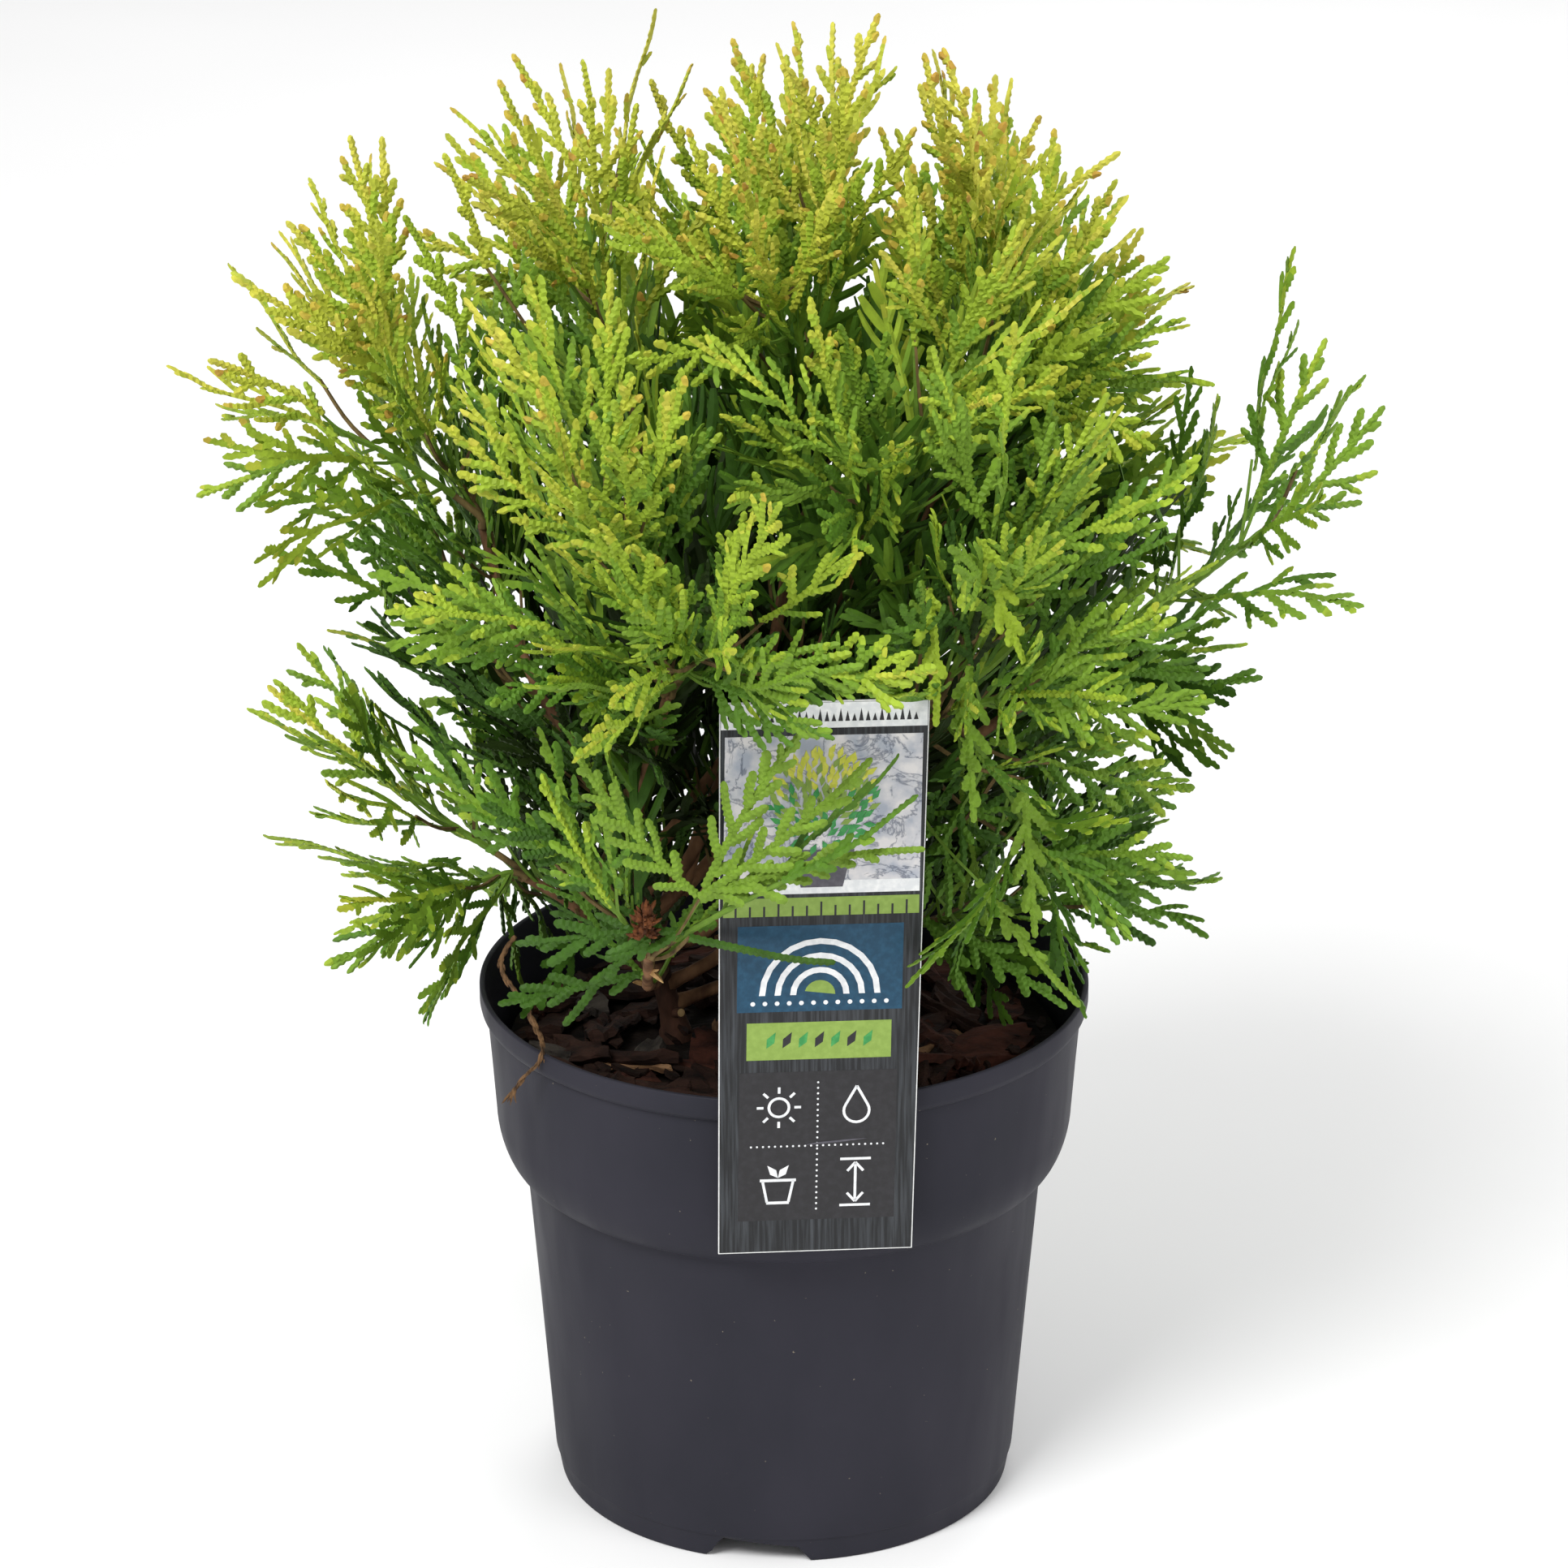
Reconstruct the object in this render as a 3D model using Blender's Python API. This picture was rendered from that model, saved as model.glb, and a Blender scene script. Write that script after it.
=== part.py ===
"""Potted golden globe arborvitae

A young dwarf conifer in its round nursery pot, with a label hung on the rim. A short
leaning trunk rises from bark mulch and forks into tapering boughs. Each bough ends where
it enters one or more masses of flat, toothed sprays, and every mass keeps to its own space.
Metres, +Z up. The origin is on the pot's axis, on the surface that the pot stands on.
"""
import math
import random

import bmesh
import bpy
from mathutils import Matrix, Vector
from mathutils.bvhtree import BVHTree

# Clearance between neighbouring solids
GAP = 0.0003

# Pot, a turned shape: radii of the outside and heights above the floor
POT_HEIGHT = 0.168
RIM_RADIUS = 0.095
RIM_MOUTH_RADIUS = 0.0934
LIP_ROUND = 0.0006
LIP_HEIGHT = 0.0075
COLLAR_TOP_RADIUS = 0.0928
COLLAR_LOW_RADIUS = 0.0903
COLLAR_LOW_Z = 0.126
SHOULDER_RADIUS = 0.0820
SHOULDER_Z = 0.1088
BODY_TOP_RADIUS = 0.0812
BODY_TOP_Z = 0.107
BODY_LOW_RADIUS = 0.0734
FOOT_HEIGHT = 0.0080
FOOT_TOP_RADIUS = 0.0729
FOOT_RADIUS = 0.0716
FOOT_INNER_RADIUS = 0.0655
FOOT_EDGE = 0.0006
FLOOR_UNDER_Z = 0.0088
FLOOR_TOP_Z = 0.0104
WALL = 0.0015
POT_SEGMENTS = 36
SHOULDER_STEPS = 3

# Drainage notches through the foot ring
NOTCH_COUNT = 3
NOTCH_HALF_WIDTH = 0.0160
NOTCH_LEFT_HEIGHT = 0.0076
NOTCH_RIGHT_HEIGHT = 0.0056
NOTCH_ANGLE = math.radians(-96)

# Growing medium and the bark chips on it
MULCH_Z = 0.147
MULCH_EDGE_Z = 0.1455
MULCH_FALL_RADIUS = 0.062
WALL_CLEARANCE = 0.0006
CHIP_COUNT = 15
CHIP_LENGTH = (0.018, 0.034)
CHIP_WIDTH = (0.009, 0.014)
CHIP_THICKNESS = 0.0055
CHIP_RISE = 0.0040
CHIP_SPACING = (0.029, 0.018)
CHIP_FIELD_RADIUS = 0.070
CHIP_TRUNK_CLEARANCE = 0.0235

# Label: a flat card outside the rim on a tongue that hooks over it
CARD_TOP_WIDTH = 0.0612
CARD_LOW_WIDTH = 0.0584
CARD_LOW_Z = 0.1192
CARD_TOP_Z = 0.2953
CARD_THICKNESS = 0.0007
CARD_YAW = math.radians(6)
CARD_ROLL = math.radians(0.8)
TONGUE_WIDTH = 0.016
TONGUE_THICKNESS = 0.0008
TONGUE_INNER_RADIUS = 0.0892
TONGUE_LOW_Z = 0.1470

# Trunk, from the flat cut at the mulch to the fork
TRUNK_POINTS = (
    (-0.034, 0.005, MULCH_Z + GAP), (-0.0385, 0.0025, 0.168), (-0.0430, 0.0005, 0.194),
    (-0.050, -0.002, 0.222),
)
TRUNK_FOOT_RADIUS = 0.0032
TRUNK_TOP_RADIUS = 0.0026
FLARE_RADIUS = 0.0019
FLARE_LENGTH = 0.006
TRUNK_SIDES = 12
STUB_Z = 0.1535
STUB_RADIUS = 0.0015
STUB_LENGTH = 0.0072
STUB_HEADING = math.radians(-62)

# Boughs: the heading in degrees and the height where each leaves the trunk, then its way to its tip.
# The two at the fork stand side by side on the trunk's end, on the left (-1) and the right (1).
BOUGH_BASE_RADIUS = 0.0021
BOUGH_TIP_RADIUS = 0.0015
FORK_SPREAD = 0.0021
FORK_RADIUS = 0.0019
BOUGH_SIDES = 5
BOUGH_STEP = 0.016
BOUGH_COLLAR = 0.006
BOUGHS = {
    "left": ("fork", -1, ((-0.062, -0.002, 0.243), (-0.074, -0.003, 0.262), (-0.085, -0.004, 0.292),
                          (-0.091, -0.005, 0.318))),
    "upright": ("fork", 1, ((-0.041, -0.003, 0.243), (-0.033, -0.004, 0.270), (-0.036, -0.005, 0.300),
                            (-0.044, 0.0, 0.345))),
    "centre": (-5, 0.190, ((-0.025, -0.002, 0.220), (-0.007, -0.004, 0.266), (0.001, -0.004, 0.305),
                           (0.005, 0.0, 0.352))),
    "right": (5, 0.164, ((-0.010, 0.006, 0.182), (0.032, 0.007, 0.222), (0.066, 0.005, 0.251),
                         (0.086, 0.004, 0.264))),
    "right_upright": (35, 0.206, ((-0.020, 0.016, 0.232), (0.018, 0.018, 0.275), (0.045, 0.012, 0.320),
                                  (0.056, 0.006, 0.348))),
    "front": (-95, 0.206, ((-0.046, -0.025, 0.221), (-0.042, -0.050, 0.252), (-0.034, -0.070, 0.288))),
    "front_low": (-90, 0.170, ((-0.041, -0.030, 0.178), (-0.041, -0.062, 0.192), (-0.040, -0.088, 0.212))),
    "front_right": (-40, 0.178, ((-0.014, -0.020, 0.200), (0.016, -0.044, 0.238), (0.044, -0.060, 0.276))),
    "middle": (-28, 0.198, ((-0.020, -0.012, 0.228), (0.006, -0.027, 0.276), (0.020, -0.038, 0.314))),
    "back": (95, 0.202, ((-0.044, 0.028, 0.224), (-0.030, 0.056, 0.268), (-0.018, 0.070, 0.308))),
    "back_low": (88, 0.172, ((-0.036, 0.032, 0.184), (-0.018, 0.064, 0.204), (-0.004, 0.084, 0.222))),
    "left_low": (185, 0.180, ((-0.062, -0.006, 0.192), (-0.080, -0.009, 0.205))),
    "left_back": (150, 0.214, ((-0.070, 0.018, 0.234), (-0.086, 0.032, 0.252))),
    "pot_right": (20, 0.1560, ((0.000, 0.014, 0.166), (0.036, 0.010, 0.180))),
    "back_right": (50, 0.186, ((-0.012, 0.030, 0.208), (0.030, 0.054, 0.246), (0.058, 0.064, 0.282))),
}

# Foliage masses: the bough that carries each one, its furthest tip and how many side sprays it has
MASSES = {
    "left_fan": ("left", (-0.185, -0.015, 0.370), 7),
    "upper_left": ("left", (-0.158, -0.008, 0.403), 6),
    "top_left": ("upright", (-0.072, 0.010, 0.463), 7),
    "top_centre": ("centre", (0.021, 0.012, 0.473), 7),
    "front_top": ("centre", (-0.014, -0.082, 0.440), 6),
    "right_fan": ("right", (0.185, 0.005, 0.348), 7),
    "right_lower": ("right", (0.146, 0.000, 0.259), 6),
    "top_right": ("right_upright", (0.055, 0.004, 0.464), 6),
    "right_top": ("right_upright", (0.088, 0.030, 0.430), 5),
    "right_upper": ("right_upright", (0.113, -0.010, 0.402), 6),
    "front_upper_left": ("front", (-0.075, -0.122, 0.392), 6),
    "front_centre": ("front", (-0.012, -0.170, 0.338), 5),
    "front_left": ("front", (-0.112, -0.112, 0.334), 5),
    "front_low_left": ("front_low", (-0.074, -0.120, 0.276), 5),
    "front_low_right": ("front_low", (0.040, -0.138, 0.276), 5),
    "front_upper_right": ("front_right", (0.064, -0.122, 0.392), 6),
    "front_middle": ("middle", (0.016, -0.130, 0.388), 5),
    "middle_right": ("middle", (0.066, -0.066, 0.432), 5),
    "front_right": ("front_right", (0.098, -0.118, 0.308), 5),
    "drooping_right": ("front_right", (0.087, -0.078, 0.186), 5),
    "back_top": ("back", (-0.012, 0.082, 0.442), 6),
    "back_upper_left": ("back", (-0.098, 0.112, 0.388), 5),
    "back_centre": ("back", (0.004, 0.170, 0.334), 5),
    "back_low": ("back_low", (0.010, 0.142, 0.216), 4),
    "back_low_left": ("back_low", (-0.092, 0.108, 0.200), 4),
    "lower_left": ("left_low", (-0.160, 0.000, 0.262), 6),
    "bottom_left": ("left_low", (-0.139, -0.035, 0.187), 6),
    "pot_left": ("left_low", (-0.084, -0.006, 0.163), 2),
    "left_middle": ("left_back", (-0.153, 0.006, 0.312), 5),
    "back_left": ("left_back", (-0.124, 0.108, 0.300), 5),
    "pot_right": ("pot_right", (0.083, 0.024, 0.163), 2),
    "bottom_right": ("pot_right", (0.128, -0.030, 0.206), 6),
    "back_upper_right": ("back_right", (0.096, 0.112, 0.388), 6),
    "back_right": ("back_right", (0.126, 0.106, 0.300), 6),
    "back_low_right": ("back_right", (0.098, 0.106, 0.204), 5),
}
CROWN_CENTRE = (0.0, 0.0, 0.310)
CELL_SHARE = 0.62
CELL_MARGIN = 0.0005
CLEARANCE = 0.0006
REACH_SIDE = 0.183
REACH_FRONT = 0.168
REACH_TOP = 0.471

# Room that foliage leaves round the pot and the label
OVER_MULCH = 0.006
OVER_LIP = 0.002
MOUTH_CLEAR_RADIUS = 0.086
RIM_CLEAR_RADIUS = 0.0985
LIP_GUARD_RADIUS = 0.0046
LIP_GUARDS = 150
CARD_GUARD_RADIUS = 0.0032
CARD_GUARD_STEP = 0.004
TONGUE_GUARD_RADIUS = 0.0045
TONGUE_GUARDS = 8

# Stem and twigs of a mass, from the bough's end
STEM_BASE_RADIUS = 0.0011
STEM_TIP_RADIUS = 0.0005
STEM_SIDES = 3
STEM_POINTS = 5
STEM_OFFSET = 0.0014
STEM_COLLAR = 0.003
TWIG_RADIUS = 0.0005
TWIG_LENGTHS = (0.020, 0.008)
TWIG_ROOT = 0.004
TWIG_CLEARANCE = 0.0018
GOLDEN_ANGLE = math.radians(137.5)
TRIES = 26
SHRINK_A_TRY = 0.018

# Spray: a toothed blade, thin at its teeth and thicker along its rib. Shares of its length or width:
# where the rib's notches are, and how far forward and out each tooth's tip is on either edge
SPRAY_LENGTHS = (0.074, 0.054)
SPRAY_WIDTH_SHARE = 0.62
SPRAY_SUNK = 0.0035
SPRAY_ROOT = 0.008
RIB_HALF_WIDTH = 0.0019
RIB_HALF_THICKNESS = 0.0006
RIB_NARROWING = 0.16
NOTCHES = (0.0, 0.27, 0.50, 0.72)
TEETH = {
    -1: ((0.36, 0.42), (0.60, 0.50), (0.80, 0.36)),
    1: ((0.45, 0.50), (0.69, 0.45), (0.86, 0.26)),
}

# Dead sprig that hangs over the rim
SPRIG_RADIUS = 0.0012
SPRIG_TAPER = 0.45
SPRIG_SIDES = 5
SPRIG_STEP = 0.004
SPRIG_HEADING = math.radians(-140)
SEED = 41


def principled(name, colour, roughness, metallic=0.0):
    """A plain material with one colour, roughness and metallic value."""
    material = bpy.data.materials.new(name)
    material.use_nodes = True
    shader = material.node_tree.nodes["Principled BSDF"]
    shader.inputs["Base Color"].default_value = (*colour, 1.0)
    shader.inputs["Roughness"].default_value = roughness
    shader.inputs["Metallic"].default_value = metallic
    return material


def solid(name, vertices, faces, material, sharp_angle=40):
    """A closed mesh object whose faces point out, shaded smooth up to a sharp angle."""
    mesh = bpy.data.meshes.new(name)
    mesh.from_pydata([tuple(v) for v in vertices], [], faces)
    tidy = bmesh.new()
    tidy.from_mesh(mesh)
    bmesh.ops.recalc_face_normals(tidy, faces=tidy.faces)
    tidy.to_mesh(mesh)
    tidy.free()
    mesh.shade_smooth()
    mesh.set_sharp_from_angle(angle=math.radians(sharp_angle))
    mesh.materials.append(material)
    piece = bpy.data.objects.new(name, mesh)
    bpy.context.scene.collection.objects.link(piece)
    return piece


def revolve(profile, segments):
    """Vertices and faces of a profile of (radius, height) turned about the Z axis."""
    vertices = []
    rings = []
    for radius, height in profile:
        if radius == 0:
            rings.append([len(vertices)])
            vertices.append(Vector((0, 0, height)))
            continue
        rings.append(list(range(len(vertices), len(vertices) + segments)))
        for k in range(segments):
            turn = 2 * math.pi * k / segments
            vertices.append(Vector((radius * math.cos(turn), radius * math.sin(turn), height)))
    faces = []
    for low, high in zip(rings, rings[1:] + rings[:1]):
        for k in range(segments):
            after = (k + 1) % segments
            if len(low) == 1 and len(high) == 1:
                break
            if len(low) == 1:
                faces.append((low[0], high[after], high[k]))
            elif len(high) == 1:
                faces.append((low[k], low[after], high[0]))
            else:
                faces.append((low[k], low[after], high[after], high[k]))
    return vertices, faces


def smooth_path(points, step):
    """Points at an even step along a smooth curve through the given ones."""
    points = [Vector(p) for p in points]
    ends = [2 * points[0] - points[1], *points, 2 * points[-1] - points[-2]]
    fine = []
    for a, b, c, d in zip(ends, ends[1:], ends[2:], ends[3:]):
        for k in range(12):
            t = k / 12
            fine.append(0.5 * (2 * b + (c - a) * t + (2 * a - 5 * b + 4 * c - d) * t ** 2
                               + (3 * b - a - 3 * c + d) * t ** 3))
    fine.append(points[-1])
    return even_points(fine, step)


def even_points(line, step):
    """The line's points again, spaced evenly at about the given step."""
    lengths = [(b - a).length for a, b in zip(line, line[1:])]
    total = sum(lengths)
    count = max(2, round(total / step))
    result = [line[0]]
    along = 0.0
    index = 0
    for k in range(1, count):
        goal = total * k / count
        while along + lengths[index] < goal:
            along += lengths[index]
            index += 1
        share = (goal - along) / lengths[index]
        result.append(line[index].lerp(line[index + 1], share))
    return [*result, line[-1]]


def tube(path, radii, sides, first=None):
    """Vertices and faces of a tube with flat ends; first sets the way the first ring faces."""
    runs = [(b - a).normalized() for a, b in zip(path, path[1:])]
    bends = [(a + b).normalized() for a, b in zip(runs, runs[1:])]
    tangents = [runs[0] if first is None else first, *bends, runs[-1]]
    side = tangents[0].orthogonal().normalized()
    vertices = []
    for point, tangent, radius in zip(path, tangents, radii):
        side = (side - tangent * side.dot(tangent)).normalized()
        across = tangent.cross(side)
        for k in range(sides):
            turn = 2 * math.pi * k / sides
            vertices.append(point + radius * (math.cos(turn) * side + math.sin(turn) * across))
    faces = [tuple(range(sides))[::-1]]
    for ring in range(len(path) - 1):
        for k in range(sides):
            after = (k + 1) % sides
            low = ring * sides
            faces.append((low + k, low + after, low + sides + after, low + sides + k))
    faces.append(tuple(range((len(path) - 1) * sides, len(path) * sides)))
    return vertices, faces


def prism_faces(count):
    """Faces of a solid whose vertices are one outline of so many corners, then the same one moved."""
    faces = [tuple(range(count)), tuple(range(2 * count - 1, count - 1, -1))]
    faces += [(k, k + count, (k + 1) % count + count, (k + 1) % count) for k in range(count)]
    return faces


def is_closed(mesh):
    """Whether the mesh has faces and each of its edges joins two of them."""
    test = bmesh.new()
    test.from_mesh(mesh)
    closed = bool(test.faces) and all(len(edge.link_faces) == 2 for edge in test.edges)
    test.free()
    return closed


def bake_modifiers(piece):
    """The object's mesh as its modifiers leave it."""
    depsgraph = bpy.context.evaluated_depsgraph_get()
    return bpy.data.meshes.new_from_object(piece.evaluated_get(depsgraph))


def unite(piece, others, operation="UNION"):
    """Joins the other objects to the piece, or cuts them from it, and removes them."""
    group = bpy.data.collections.new(piece.name + "_parts")
    bpy.context.scene.collection.children.link(group)
    for other in others:
        bpy.context.scene.collection.objects.unlink(other)
        group.objects.link(other)
    boolean = piece.modifiers.new("join", "BOOLEAN")
    boolean.operation = operation
    boolean.operand_type = "COLLECTION"
    boolean.collection = group
    for solver in ("EXACT", "MANIFOLD"):
        boolean.solver = solver
        mesh = bake_modifiers(piece)
        if is_closed(mesh):
            break
    piece.modifiers.clear()
    piece.data = mesh
    for other in others:
        bpy.data.objects.remove(other)
    bpy.data.collections.remove(group)


def shoulder(top_radius, low_radius, top_z, low_z):
    """The round underside of the collar, from its wall in to the body."""
    points = []
    for k in range(1, SHOULDER_STEPS + 1):
        turn = math.pi / 2 * k / SHOULDER_STEPS
        points.append((low_radius + (top_radius - low_radius) * math.cos(turn),
                       top_z - (top_z - low_z) * math.sin(turn) ** 1.2))
    return points


def inner_profile():
    """The pot's inside from the mouth down to the floor, as (radius, height)."""
    collar = shoulder(COLLAR_LOW_RADIUS - WALL, SHOULDER_RADIUS - WALL, COLLAR_LOW_Z, SHOULDER_Z)
    return [
        (RIM_MOUTH_RADIUS, POT_HEIGHT - 0.0003),
        (COLLAR_TOP_RADIUS - WALL, POT_HEIGHT - 0.0095),
        (COLLAR_LOW_RADIUS - WALL, COLLAR_LOW_Z),
        *collar,
        (BODY_TOP_RADIUS - WALL, BODY_TOP_Z - 0.002),
        (BODY_LOW_RADIUS - WALL, FLOOR_TOP_Z + 0.001),
        (BODY_LOW_RADIUS - WALL - 0.001, FLOOR_TOP_Z),
    ]


def make_pot():
    """The pot: foot ring, tapering body, round-shouldered collar and a thin rolled lip."""
    lip_low_z = POT_HEIGHT - LIP_HEIGHT
    outside = [
        (FOOT_INNER_RADIUS, 0.0),
        (FOOT_RADIUS - FOOT_EDGE, 0.0),
        (FOOT_RADIUS, FOOT_EDGE),
        (FOOT_TOP_RADIUS, FOOT_HEIGHT),
        (BODY_LOW_RADIUS, FOOT_HEIGHT + 0.0004),
        (BODY_TOP_RADIUS, BODY_TOP_Z),
        *shoulder(COLLAR_LOW_RADIUS, SHOULDER_RADIUS, COLLAR_LOW_Z, SHOULDER_Z)[::-1],
        (COLLAR_LOW_RADIUS, COLLAR_LOW_Z),
        (COLLAR_TOP_RADIUS, lip_low_z - 0.0008),
        (RIM_RADIUS - 0.0006, lip_low_z),
        (RIM_RADIUS, lip_low_z + 0.0018),
        (RIM_RADIUS, POT_HEIGHT - 0.0022),
        (RIM_RADIUS - 0.0004, POT_HEIGHT - 0.0007),
        (RIM_RADIUS - 0.0010, POT_HEIGHT),
    ]
    under = [(0, FLOOR_TOP_Z), (0, FLOOR_UNDER_Z), (FOOT_INNER_RADIUS, FLOOR_UNDER_Z)]
    vertices, faces = revolve([*outside, *inner_profile(), *under], POT_SEGMENTS)
    pot = solid("pot", vertices, faces, principled("pot_plastic", (0.050, 0.050, 0.062), 0.42))
    unite(pot, [notch_cutter(k) for k in range(NOTCH_COUNT)], "DIFFERENCE")
    return pot


def notch_cutter(index):
    """A cutter through the foot ring, with one steep end and one sloping end."""
    outline = [
        (-NOTCH_HALF_WIDTH, -0.002), (-NOTCH_HALF_WIDTH + 0.0008, 0.0022),
        (-NOTCH_HALF_WIDTH + 0.0040, NOTCH_LEFT_HEIGHT), (NOTCH_HALF_WIDTH - 0.0045, NOTCH_RIGHT_HEIGHT),
        (NOTCH_HALF_WIDTH, 0.0), (NOTCH_HALF_WIDTH + 0.001, -0.002),
    ]
    near = FOOT_INNER_RADIUS - 0.008
    far = FOOT_RADIUS + 0.008
    turn = Matrix.Rotation(NOTCH_ANGLE + 2 * math.pi * index / NOTCH_COUNT, 3, "Z")
    vertices = [turn @ Vector((reach, across, up)) for reach in (near, far) for across, up in outline]
    plastic = bpy.data.materials["pot_plastic"]
    return solid(f"notch_{index}", vertices, prism_faces(len(outline)), plastic)


def bark_chip(name, rule, centre, heading, material):
    """One irregular six-sided slab of bark, tilted and half sunk in the mulch."""
    length = rule.uniform(*CHIP_LENGTH) / 2
    width = rule.uniform(*CHIP_WIDTH) / 2
    turn = Matrix.Rotation(heading, 3, "Z") @ Matrix.Rotation(rule.uniform(-0.12, 0.12), 3, "Y")
    turn = turn @ Matrix.Rotation(rule.uniform(-0.2, 0.2), 3, "X")
    outline = [(-1, -0.25), (-0.55, -0.95), (0.6, -0.8), (1, 0.1), (0.5, 0.9), (-0.65, 0.8)]
    vertices = []
    for level in (-0.5, 0.5):
        for along, across in outline:
            local = Vector((along * length * rule.uniform(0.88, 1), across * width * rule.uniform(0.85, 1),
                            level * CHIP_THICKNESS))
            vertices.append(centre + turn @ local)
    return solid(name, vertices, prism_faces(len(outline)), material, 30)


def make_mulch():
    """The growing medium that fills the pot, with large bark chips fused on its top."""
    inside = [(radius - WALL_CLEARANCE, z) for radius, z in inner_profile() if z < MULCH_EDGE_Z]
    inside = [(radius, z + GAP if z < FLOOR_TOP_Z + 0.002 else z) for radius, z in inside]
    edge = (COLLAR_LOW_RADIUS - WALL - WALL_CLEARANCE, MULCH_EDGE_Z)
    profile = [(0, MULCH_Z), (MULCH_FALL_RADIUS, MULCH_Z), edge, *inside, (0, FLOOR_TOP_Z + GAP)]
    vertices, faces = revolve(profile, POT_SEGMENTS)
    material = principled("bark", (0.085, 0.034, 0.022), 0.9)
    mulch = solid("bark_mulch", vertices, faces, material)
    rule = random.Random(SEED)
    chips = []
    for k, place in enumerate(chip_places(rule)):
        heading = math.atan2(place.y, place.x) + math.pi / 2 + rule.uniform(-0.5, 0.5)
        centre = Vector((place.x, place.y, MULCH_Z + CHIP_RISE - CHIP_THICKNESS / 2))
        chips.append(bark_chip(f"chip_{k}", rule, centre, heading, material))
    unite(mulch, chips)
    return mulch


def chip_places(rule):
    """Seeded places for the chips, well apart at first and then closer, and clear of the trunk."""
    foot = Vector(TRUNK_POINTS[0]).to_2d()
    places = []
    while len(places) < CHIP_COUNT:
        radius = CHIP_FIELD_RADIUS * math.sqrt(rule.random())
        turn = rule.uniform(0, 2 * math.pi)
        place = Vector((radius * math.cos(turn), radius * math.sin(turn)))
        apart = min(((place - other).length for other in places), default=1)
        if apart > CHIP_SPACING[0 if len(places) < CHIP_COUNT / 2 else 1]:
            if (place - foot).length > CHIP_TRUNK_CLEARANCE:
                places.append(place)
    return places


def card_frame():
    """Turns the label's own X, Y, Z (width, depth out of the pot, height) to its real place."""
    yaw = Matrix.Rotation(CARD_YAW, 4, "Z")
    roll = Matrix.Rotation(CARD_ROLL, 4, "Y")
    pivot = Matrix.Translation((0, 0, POT_HEIGHT))
    return yaw @ pivot @ roll @ pivot.inverted()


def make_label():
    """The hanging label: a card outside the rim and a tongue over the lip, down to the mulch."""
    frame = card_frame()
    back = -(RIM_RADIUS + GAP)
    front = back - CARD_THICKNESS
    low = CARD_LOW_WIDTH / 2
    top = CARD_TOP_WIDTH / 2
    outline = [(-low, CARD_LOW_Z), (low, CARD_LOW_Z), (top, CARD_TOP_Z), (-top, CARD_TOP_Z)]
    material = principled("label_card", (0.35, 0.37, 0.38), 0.35)
    vertices = [frame @ Vector((x, y, z)) for y in (front, back) for x, z in outline]
    label = solid("hanging_label", vertices, prism_faces(len(outline)), material)
    under = POT_HEIGHT + GAP
    over = under + TONGUE_THICKNESS
    root = (front + back) / 2
    outer = -TONGUE_INNER_RADIUS
    inner = outer + TONGUE_THICKNESS
    side = [
        (root, under), (outer, under), (outer, TONGUE_LOW_Z),
        (inner, TONGUE_LOW_Z), (inner, over), (root, over),
    ]
    vertices = [frame @ Vector((x, y, z)) for x in (-TONGUE_WIDTH / 2, TONGUE_WIDTH / 2) for y, z in side]
    unite(label, [solid("tongue", vertices, prism_faces(len(side)), material)])
    return label


def sprig_line():
    """The dead sprig's axis and radii: down out of the low foliage, over the lip and on outside it."""
    half = SPRIG_RADIUS * (1 - SPRIG_TAPER / 2) * math.cos(math.pi / SPRIG_SIDES)
    off = (half + GAP) * math.sqrt(0.5) - LIP_ROUND
    reach = RIM_RADIUS + off
    crest = (reach * math.cos(SPRIG_HEADING), reach * math.sin(SPRIG_HEADING), POT_HEIGHT + off)
    points = [
        (-0.0815, -0.042, 0.199), (-0.0860, -0.044, 0.190), (-0.0770, -0.0525, 0.1775), crest,
        (-0.0785, -0.0610, 0.161), (-0.0825, -0.0590, 0.154),
    ]
    path = smooth_path(points, SPRIG_STEP)
    count = len(path) - 1
    return path, [SPRIG_RADIUS * (1 - SPRIG_TAPER * k / count) for k in range(count + 1)]


def make_sprig():
    """The dead brown sprig that hangs from the low foliage over the lip."""
    material = principled("dead_foliage", (0.20, 0.095, 0.035), 0.85)
    return solid("dead_sprig", *tube(*sprig_line(), SPRIG_SIDES), material)


def trunk_line():
    """The trunk's axis and its radius at each point, with the root flare at the foot."""
    path = smooth_path(TRUNK_POINTS, 0.006)
    radii = []
    for k, point in enumerate(path):
        share = k / (len(path) - 1)
        flare = FLARE_RADIUS * math.exp(-(point.z - path[0].z) / FLARE_LENGTH)
        radii.append(TRUNK_FOOT_RADIUS + (TRUNK_TOP_RADIUS - TRUNK_FOOT_RADIUS) * share + flare)
    return path, radii


def make_trunk():
    """The trunk with its flat foot, root flare and the stub of one cut branch."""
    path, radii = trunk_line()
    material = principled("bark_stem", (0.15, 0.075, 0.052), 0.85)
    trunk = solid("trunk", *tube(path, radii, TRUNK_SIDES, Vector((0, 0, 1))), material)
    centre, _ = on_trunk(STUB_Z)
    out = Vector((math.cos(STUB_HEADING), math.sin(STUB_HEADING), 0.35)).normalized()
    stub_path = [centre, centre + out * STUB_LENGTH / 2, centre + out * STUB_LENGTH]
    unite(trunk, [solid("stub", *tube(stub_path, [STUB_RADIUS] * 3, 8), material)])
    return trunk


def on_trunk(z):
    """The trunk's axis point and radius at a height."""
    path, radii = trunk_line()
    for a, b, ra, rb in zip(path, path[1:], radii, radii[1:]):
        if a.z <= z <= b.z:
            share = (z - a.z) / (b.z - a.z)
            return a.lerp(b, share), ra + (rb - ra) * share
    return path[-1], radii[-1]


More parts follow.
